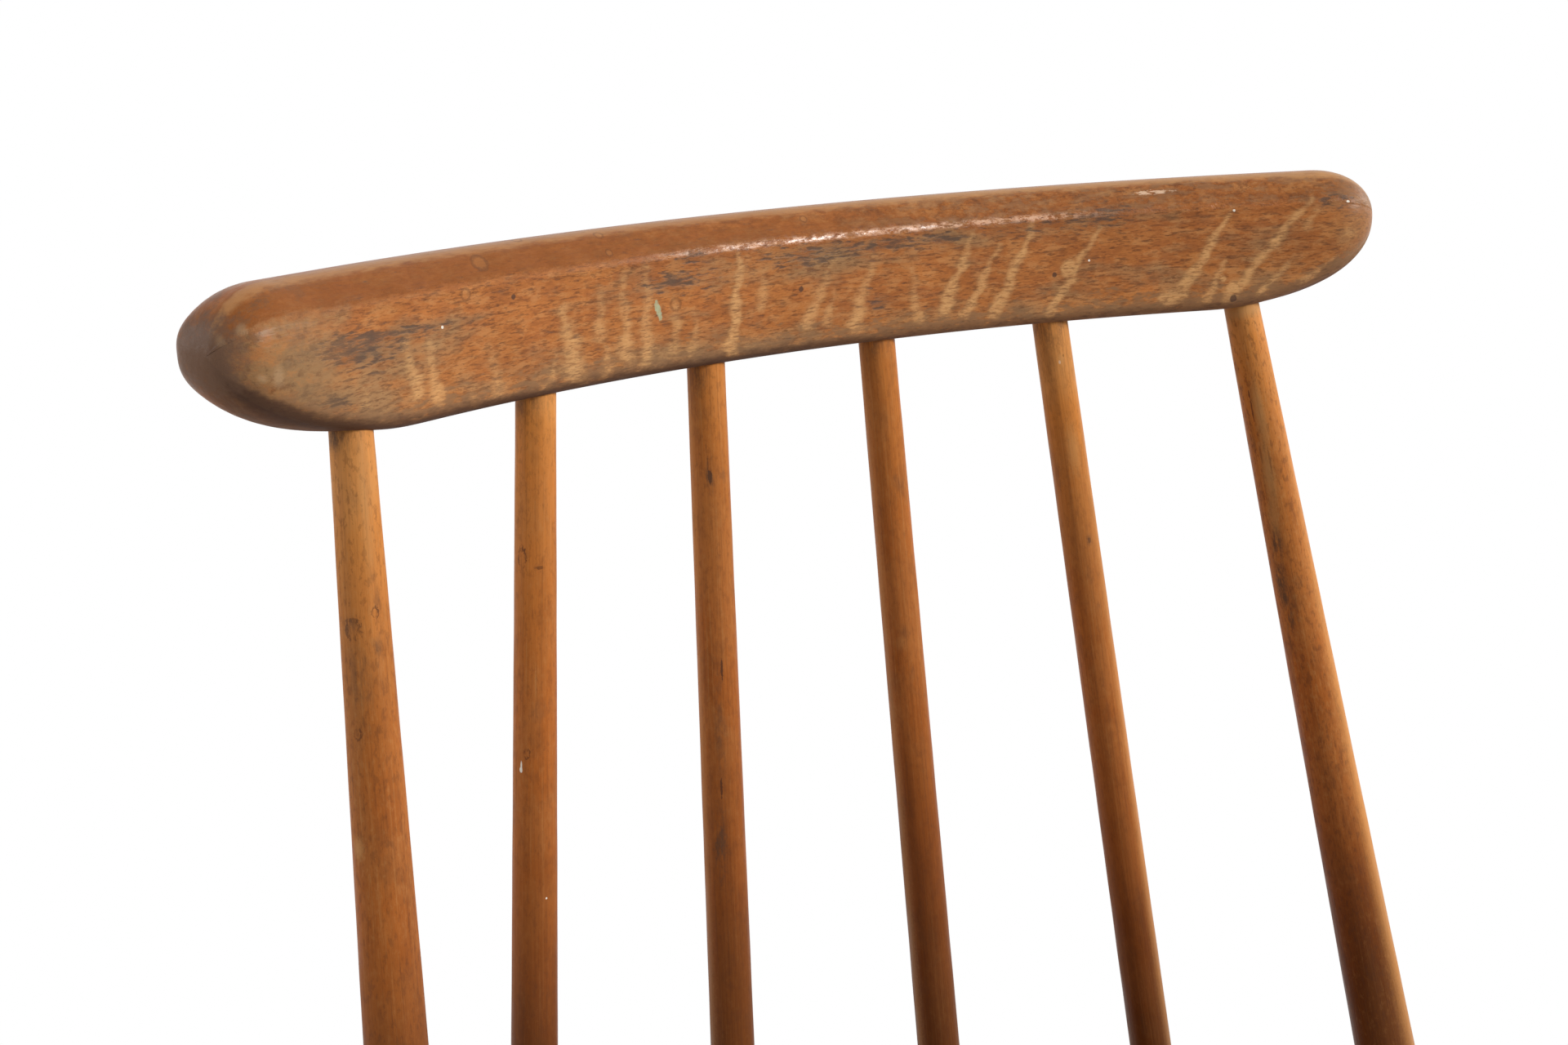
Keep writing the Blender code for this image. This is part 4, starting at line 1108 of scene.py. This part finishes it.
def rail_varnish(girth):
    """Worn reddish varnish: mottled grain, a browner bevel, rubbed edges, grime in dashes, pale drips, marks.
    Painted in are a highlight on the rubbed fold, sheen on the worn top edge, shade low on the bevel and at
    the left tip, and shade with the dirt along the lower edge and on the underside.

    girth is the whole length of the rail's section, which starts where the underside meets the front.
    """
    finish = Finish("worn rail varnish")
    tint, rough = finish.tint, finish.rough
    flat = finish.laid_flat()
    run, arc, to_seam = flat[0], flat[1], girth - flat[1]
    drip, grime, bleach = (finish.mark(name) for name in ("drip", "grime", "bleach"))
    grain = finish.grain(finish.blank)
    cloudy = rough(95, 38, 4, 0.62)
    blotched = rough(150, 100, 5, 0.72)
    mottle = rough(330, 130, 4, 0.70)
    speckles = rough(330, 230, 4, 0.70)
    chipped = rough(420, 240, 4, 0.75)
    crackle = rough(560, 330, 3, 0.70)
    pitting = rough(560, 360, 4, 0.72)
    broken = rough(620, 190, 3, 0.62)
    dashes = rough(820, 175, 3, 0.64)
    ticks = rough(1500, 330, 2, 0.60)
    ragged = 0.022 * (mottle + broken - 2 * NOISE_MIDDLE)
    to_right, to_left = run.ramp(*TO_RIGHT), run.ramp(*TO_LEFT)
    on_face = (arc + 0.35 * ragged).ramp(*FACE_TOP)
    near_tip = (run + 0.8 * ragged).ramp(*LEFT_TIP)
    bevel = (arc + 0.25 * ragged).ramp(*BEVEL_FOOT) * arc.ramp(*BEVEL_TOP)
    below = to_seam.ramp(*UNDERSIDE_BAND)

    finish.colour = finish.blend(cloudy.ramp(0.36, 0.64), RAIL_ORANGE, RAIL_RED)
    tint(RAIL_DEEP, 0.35 * grain["Streak"])
    tint(RAIL_BEVEL_BROWN, bevel * mottle.ramp(0.30, 0.66))
    tint(WORN_TAN, bevel * blotched.ramp(0.50, 0.64) * (0.24 + 0.36 * to_right))
    tint(FLECK_BROWN, bevel * blotched.ramp(0.47, 0.36) * (0.30 + 0.38 * to_right))
    pit_share = bevel * (0.35 + 0.65 * to_right)
    tint(FLECK_BROWN, 0.55 * pit_share * pitting.ramp(0.51, 0.61))
    tint(WORN_TAN, 0.38 * pit_share * pitting.ramp(0.48, 0.38))
    tint(BEVEL_HAZE, 0.42 * bevel * to_right * mottle.ramp(0.46, 0.60))
    tint(RAIL_BEVEL_BROWN, 0.35 * bevel * to_left)
    # darker band low on the bevel: painted shade
    tint(RAIL_BEVEL_BROWN, bevel * arc.ramp(*LOWER_BEVEL_SHADE) * (0.40 - 0.20 * to_right))
    tint(RAIL_BACK_BROWN, 0.7 * arc.ramp(*BACK_START))
    # darker underside: painted shade under the rail, with dirt
    tint(UNDERSIDE_DIRT_AND_SHADE, 0.8 * below)
    tint(WORN_TAN, (mottle + 0.08 * bleach).ramp(0.47, 0.63) * (0.12 + 0.40 * on_face))
    dull_share = 0.10 + 0.75 * on_face + 0.35 * bevel * to_right
    tint(OLIVE_TAN, (cloudy + 0.26 * bleach).ramp(0.50, 0.78) * dull_share)

    fuzzy = 0.85 * (ticks + broken + 0.9 * mottle - 1.45)
    grainy = 0.55 + 0.45 * (ticks + broken).ramp(1.16, 0.84)
    dripped = (drip + fuzzy).ramp(0.22, 1.10) * drip.ramp(0.04, 0.5) * grainy
    tint(OLIVE_TAN, 0.22 * drip.ramp(0.02, 0.6))
    tint(DRIP_TAN, 0.88 * dripped)
    off_tip = 1.0 - 0.8 * near_tip
    clean = off_tip * (1.0 - 0.45 * dripped)
    tint(RAIL_DEEP, 0.20 * grain["Fibre"] * clean)
    smudged = (0.5 * mottle + 0.5 * dashes).ramp(0.48, 0.38)
    tint(RAIL_DEEP, smudged * clean * (0.25 + 0.25 * on_face))
    speckled = (dashes + 0.05 * cloudy.ramp(0.40, 0.68)).ramp(0.52, 0.66)
    tint(FLECK_BROWN, speckled * clean * (0.12 + 0.38 * on_face))
    tint(FLECK_BROWN, ticks.ramp(0.53, 0.66) * clean * (0.16 + 0.36 * on_face))
    tip_face = near_tip * on_face
    tint(TIP_TAN, tip_face * (0.36 + 0.34 * mottle.ramp(0.38, 0.60)))
    tint(FLECK_BROWN, 0.46 * tip_face * speckles.ramp(0.51, 0.63))
    tint(RAIL_ORANGE, 0.34 * tip_face * speckles.ramp(0.47, 0.37))
    tint(GRIME_HAZE, 0.40 * near_tip * blotched.ramp(0.50, 0.36))

    # pale top edge: wear with painted sheen
    rim = (arc.within(*RIM_BAND) + 0.9 * broken).ramp(0.90, 1.50)
    tint(RIM_WEAR_AND_SHEEN, rim * (0.62 + 0.20 * to_right))
    band = (arc + ragged).ramp(*EDGE_BAND) * (1.0 - 0.7 * dripped)
    tint(RUBBED_EDGE, 0.80 * band)
    tint(EDGE_DIRT_AND_SHADE, 0.55 * band * broken.ramp(0.50, 0.66))
    # dark lower front edge and underside by the seam: dirt with painted shade
    dirt = (arc + 0.25 * ragged).ramp(*DIRT_AND_SHADE_BAND).math("MAXIMUM", to_seam.ramp(*SEAM_DIRT_AND_SHADE))
    tint(EDGE_DIRT_AND_SHADE, dirt * (0.85 - 0.60 * to_right))
    # left tip: darker varnish with painted shade of the end turned from the light
    tint(END_GREY_AND_SHADE, 0.95 * (run + 0.3 * ragged).ramp(*LEFT_END))
    for centre, half_size, strength in TIP_GLEAMS:
        tint(TIP_GLEAM, strength * finish.spot(centre, half_size)["Stain"])
    tint(RUBBED_EDGE, 0.55 * (run - 0.8 * ragged).ramp(*RIGHT_END))
    soiled = (dashes + 0.30 * grime).ramp(0.62, 0.84)
    tint(GRIME_HAZE, 0.42 * grime * mottle.ramp(0.34, 0.58))
    tint(GRIME_GREY, 0.70 * soiled * off_tip)
    # painted highlight along the rubbed fold
    fold_wear_and_highlight = arc.within(*FOLD_LINE) * run.within(*FOLD_WEAR_AND_HIGHLIGHT_RUN) * (chipped + 0.5 * ticks).ramp(0.68, 0.84)
    tint(FOLD_HIGHLIGHT_PINK, 0.72 * fold_wear_and_highlight)

    for centre, radius in WATER_RINGS:
        ring = finish.spot(centre, (radius, radius), 0.5)
        tint(WORN_TAN, 0.20 * ring["Spot"])
        tint(FLECK_BROWN, 0.45 * ring["Ring"])
    for colour, spots in ((EDGE_DIRT_AND_SHADE, DARK_DOTS), (SPECK_WHITE, PALE_SPECKS)):
        for centre, radius in spots:
            tint(colour, 0.85 * finish.spot(centre, (radius, radius))["Spot"])
    tint(CHIP_PALE, 0.75 * finish.spot(*RIM_CHIP, 1.6)["Spot"] * ticks.ramp(0.40, 0.56))
    for centre, half_size in PAINT_FLECK:
        fleck = finish.spot(centre, half_size, 1.3)["Spot"] * broken.ramp(0.20, 0.45)
        tint(FLECK_TURQUOISE, 0.75 * fleck)

    fold = arc.within(*FOLD_BAND)
    uneven = 0.16 * soiled + 0.10 * dripped + 0.22 * broken
    roughness = 0.22 + uneven + 0.30 * fold * to_left + 0.40 * below.math("MAXIMUM", dirt)
    shiny = crackle.ramp(0.42, 0.58) * chipped.ramp(0.40, 0.56)
    gloss = (0.04 + 0.85 * fold * run.within(*POLISHED_RUN)) * shiny
    height = 0.15 * grain["Fibre"] + 0.20 * dripped - 0.25 * soiled + 1.2 * cloudy
    height = height + crackle * (0.25 + 1.7 * fold)
    coat = {"Coat Weight": gloss, "Coat Roughness": 0.22}
    return finish.close(roughness, WOOD_SPECULAR, height, RAIL_BUMP, **coat)


def stick_varnish(name, rate, shift, gritty, marks):
    """Satin varnish of one stick: straw under the rail, browner downwards and partly as painted shade, fine
    lines, blotches, own marks, among which are painted shadow under the rail, painted light on the right side
    and painted reflection and sheen.

    rate and shift place the tones along this stick, gritty is the strength of its lodged dirt.
    """
    finish = Finish(name)
    tint, rough = finish.tint, finish.rough
    down = finish.laid_flat()[0]
    grain = finish.grain(finish.blank)
    patch = finish.worn(55.0, 0.5)
    drift = 0.16 * (rough(60, 22, 3, 0.6) - NOISE_MIDDLE)
    way = down * (rate / STICK_TONE_REACH) + drift + shift
    upper = 0.35 + 0.65 * way.ramp(0.52, 0.34)
    # tones that darken downwards, partly as painted shade
    finish.colour = finish.put("ShaderNodeValToRGB", (way,))
    tones = finish.colour.node.color_ramp.elements
    for end in (0, -1):
        tones[end].position, tones[end].color = STICK_TONES_AND_SHADE[end]
    for position, colour in STICK_TONES_AND_SHADE[1:-1]:
        tones.new(position).color = colour
    tint(FLECK_BROWN, 0.22 * grain["Streak"])
    tint(FLECK_BROWN, 0.14 * grain["Fibre"])
    tint(STICK_PALE, 0.12 * patch * upper)
    blotches = rough(150, 70, 4, 0.66)
    tint(FLECK_BROWN, 0.20 * blotches.ramp(0.48, 0.34))
    tint(RAIL_ORANGE, 0.18 * blotches.ramp(0.54, 0.68) * way.ramp(0.50, 0.36))
    fine_lines = rough(1500, 14, 2, 0.6)
    tint(STICK_PALE, 0.20 * fine_lines.ramp(0.56, 0.70) * upper)
    tint(FLECK_BROWN, 0.22 * fine_lines.ramp(0.44, 0.30))
    tint(FLECK_BROWN, 0.10 * grain["Fleck"])
    grit = rough(640, 300, 3, 0.68)
    tint(FLECK_BROWN, 0.24 * gritty * grit.ramp(0.52, 0.64))
    tint(STICK_PALE, 0.14 * gritty * grit.ramp(0.46, 0.34) * upper)
    tint(STICK_SMUDGE_AND_SHADOW, 0.28 * finish.worn(120.0, 0.26) * upper)
    broken = rough(420, 120, 4, 0.7).ramp(0.36, 0.60)
    for kind, centre, half_size, strength in marks:
        colour, shape, ragged, through = MARK_KINDS[kind]
        share = strength * finish.spot(centre, half_size, ragged)[shape]
        tint(colour, share if through else share * broken)
    height = 0.30 * grain["Fibre"] + 0.6 * rough(240, 60, 3, 0.5)
    roughness = 0.34 + 0.10 * grain["Fibre"] + 0.12 * patch
    return finish.close(roughness, STICK_SPECULAR, height, STICK_BUMP)


def seat_varnish():
    """Plank of glued staves along the width: brown varnish, worn golden in the saddle, dirt near the edge."""
    finish = Finish("worn seat varnish")
    tint, rough = finish.tint, finish.rough
    edge, soil, seated = (finish.mark(name) for name in ("edge", "soil", "seated"))
    parts = finish.put("ShaderNodeSeparateXYZ", (finish.blank,))
    staves = (parts[0] + STAVE_START) * (1 / STAVE_WIDTH)
    stave, joint = staves.math("FLOOR"), staves.math("FRACT")
    moved = (parts[0] + STAVE_SHIFTS[0] * stave, parts[1], parts[2] + STAVE_SHIFTS[1] * stave)
    board = finish.put("ShaderNodeCombineXYZ", moved)
    grain = finish.grain(board)
    figure = finish.noise(board, (34, 34, 3.2), 4, 0.6)
    odd = (STAVE_TONES * stave).math("FRACT")
    finish.colour = finish.blend(0.45 * odd + 0.5 * figure, SEAT_BROWN, SEAT_STAVE)
    tint(FLECK_BROWN, 0.38 * grain["Streak"])
    rubbed = 0.42 * seated + 0.30 * finish.worn(24.0, 0.60) * seated
    tint(SEAT_WORN, rubbed)
    tint(FLECK_BROWN, 0.28 * figure.ramp(0.42, 0.56))
    tint(FLECK_BROWN, 0.34 * grain["Fibre"])
    tint(SEAT_DIRT, 0.5 * joint.ramp(0.008, 0.003))
    tint(FLECK_BROWN, 0.60 * grain["Fleck"])
    uneven = rough(300, 120, 3, 0.6)
    tint(SEAT_WORN, 0.6 * edge * finish.worn(150.0, 0.30))
    soiled = (0.18 * edge + 0.26 * soil + uneven).ramp(0.66, 0.82)
    tint(SEAT_DIRT, 0.5 * soiled)
    roughness = 0.29 + 0.14 * uneven + 0.15 * soiled + 0.10 * rubbed
    height = 0.30 * grain["Fibre"] - 0.35 * grain["Fleck"] + 0.4 * uneven
    return finish.close(roughness, SEAT_SPECULAR, height, SEAT_BUMP)


def leg_varnish():
    """Brown varnish of legs and stretchers, rubbed to gold in patches, scuffed low down, with end grain.

    The sawn ends have pale and dark year rings across the blank, broken by fine pores.
    """
    finish = Finish("leg varnish")
    cap = finish.mark("cap")
    down = finish.laid_flat()[0]
    grain = finish.grain(finish.blank)
    rub, knocks = finish.worn(22.0, 0.52), finish.worn(130.0, 0.30)
    finish.colour = finish.blend(0.85 * rub, LEG_BROWN, LEG_GOLD)
    for name, share in (("Streak", 0.22), ("Fibre", 0.18), ("Fleck", 0.40)):
        finish.tint(FLECK_BROWN, share * grain[name])
    finish.tint(LEG_SCUFF, knocks * (0.15 + 0.6 * down.ramp(*LEG_SCUFFED)))
    heart = finish.vector("ADD", finish.blank, YEAR_RING_OFFSET)
    wave = {"Vector": heart, "Scale": 130.0, "Distortion": 1.5, "Detail": 2.0}
    rings = finish.put("ShaderNodeTexWave", wave, wave_type="RINGS", rings_direction="Z")["Fac"]
    end_grain = finish.blend(0.8 * rings, END_GRAIN_BROWN, END_GRAIN_PALE)
    pores = finish.rough(2200, 2200, 1, 0.5).ramp(*PORES)
    finish.tint(finish.blend(0.6 * pores, end_grain, FLECK_BROWN), cap)
    height = 0.30 * grain["Fibre"] - 0.3 * knocks - 0.2 * cap
    return finish.close(0.37 + 0.10 * rub + 0.16 * knocks, WOOD_SPECULAR, height, LEG_BUMP)


def wedge_end_grain():
    """Wedge: paler close grain along its width, with fine pores and a little dirt."""
    finish = Finish("wedge end grain")
    stripes = finish.noise(finish.blank, (2400, 260, 500), 3, 0.6)
    finish.colour = finish.blend(stripes.ramp(0.35, 0.65), WEDGE_BROWN, END_GRAIN_PALE)
    finish.tint(FLECK_BROWN, 0.6 * finish.noise(finish.blank, (2600, 1200, 2600), 1).ramp(*PORES))
    return finish.close(0.42 + 0.12 * stripes, WOOD_SPECULAR, 0.5 * stripes, WEDGE_BUMP)


# Chair


def make_chair():
    """All pieces of the chair, each with its finish."""
    add_piece("crest_rail", rail_skin(), rail_varnish(float(rail_section()[2][-1])))
    add_piece("seat", seat_skin(), seat_varnish())
    wedge_finish, leg_finish = wedge_end_grain(), leg_varnish()
    for number, (sign, order, tones) in enumerate(SPINDLES, start=1):
        node = "back_spindle_%d" % number
        finish = stick_varnish("spindle %d varnish" % number, *tones, STICK_MARKS[node])
        make_spindle(node, sign, order, finish, SPINDLE_SHIFT * number)
    for side, sign in SIDES:
        node = "back_post_" + side
        finish = stick_varnish("post varnish " + side, *POST_TONES[side], STICK_MARKS[node])
        make_post(node, sign, finish, wedge_finish, POST_SHIFT + POST_SIDE_SHIFT * sign)
    places = {}
    for number, row in enumerate(LEG_ROWS):
        for side, sign in SIDES:
            places[row[0], side] = leg_place(row, sign)
            node = "leg_%s_%s" % (row[0], side)
            shift = LEG_SHIFT + number + LEG_SIDE_SHIFT * sign
            make_leg(node, places[row[0], side], leg_finish, wedge_finish, shift)
    middles = []
    for side, sign in SIDES:
        start = places["front", side].at(SIDE_STRETCHER_FRONT)
        end = places["back", side].at(SIDE_STRETCHER_BACK)
        node, shift = "side_stretcher_" + side, STRETCHER_SHIFT + LEG_SIDE_SHIFT * sign
        make_stretcher(node, start, end, SIDE_STRETCHER_RADII, LEG_SWELL_RADIUS, leg_finish, shift)
        middles.append((start + end) / 2)
    entered = SIDE_STRETCHER_RADII[1]
    make_stretcher("cross_stretcher", *middles, CROSS_STRETCHER_RADII, entered, leg_finish, CROSS_SHIFT)


# Studio


def make_floor():
    """Pale floor disc that keeps the chair's shadow near it and fades to plain white further out."""
    material = empty_material("pale floor")
    nodes = Nodes(material.node_tree)
    far = nodes.vector("LENGTH", nodes.put("ShaderNodeTexCoord")["Object"])["Value"]
    seen = nodes.seen()
    near = nodes.put("ShaderNodeBsdfDiffuse", {"Color": FLOOR_PALE})
    lift = nodes.put("ShaderNodeEmission", {"Strength": FLOOR_LIFT * seen})
    lifted = nodes.put("ShaderNodeAddShader", (near, lift))
    fade = far.ramp(*FLOOR_SHADE_REACH) * seen
    mixed = nodes.put("ShaderNodeMixShader", (fade, lifted, nodes.put("ShaderNodeEmission")))
    nodes.put("ShaderNodeOutputMaterial", (mixed,))
    angle = np.linspace(0, 2 * math.pi, FLOOR_SIDES, endpoint=False)
    rim = joined(FLOOR_RADIUS * np.cos(angle), FLOOR_RADIUS * np.sin(angle), 0)
    mesh = bpy.data.meshes.new("floor")
    mesh.from_pydata(rim.tolist(), [], [list(range(len(rim)))])
    mesh.materials.append(material)
    floor = new_object("floor", mesh)


def make_light():
    """Soft white all round, white to the camera and in reflections, and three square lamps."""
    world = bpy.data.worlds.new("studio")
    bpy.context.scene.world = world
    world.use_nodes = True
    world.node_tree.nodes.clear()
    nodes = Nodes(world.node_tree)
    strength = AMBIENT + (1 - AMBIENT) * nodes.seen()
    sky = nodes.put("ShaderNodeBackground", {"Color": (1, 1, 1, 1), "Strength": strength})
    nodes.put("ShaderNodeOutputWorld", (sky,))
    for name, turn, rise, distance, size, power in LAMPS:
        lamp = bpy.data.lights.new(name, "AREA")
        lamp.shape = "SQUARE"
        lamp.size = size
        lamp.energy = power
        towards = Vector((math.sin(turn) * math.cos(rise), -math.cos(turn) * math.cos(rise), math.sin(rise)))
        stand = new_object(name, lamp)
        stand.location = LAMP_AIM + distance * towards
        stand.rotation_euler = towards.to_track_quat("Z", "Y").to_euler()
        stand.visible_camera = False


def make_camera():
    """Camera of the photo, turned by yaw, pitch and then roll."""
    lens = bpy.data.cameras.new("photo view")
    lens.lens = CAMERA_LENS
    lens.sensor_fit = "HORIZONTAL"
    lens.sensor_width = CAMERA_SENSOR
    lens.clip_start = CAMERA_NEAR
    camera = new_object("photo view", lens)
    turns = ((-CAMERA_YAW, "Z"), (math.pi / 2 + CAMERA_PITCH, "X"), (CAMERA_ROLL, "Z"))
    camera.matrix_world = Matrix.Translation(CAMERA_PLACE)
    for angle, axis in turns:
        camera.matrix_world = camera.matrix_world @ Matrix.Rotation(angle, 4, axis)
    bpy.context.scene.camera = camera


make_chair()
make_floor()
make_light()
make_camera()
bpy.context.scene.view_settings.view_transform = "Standard"
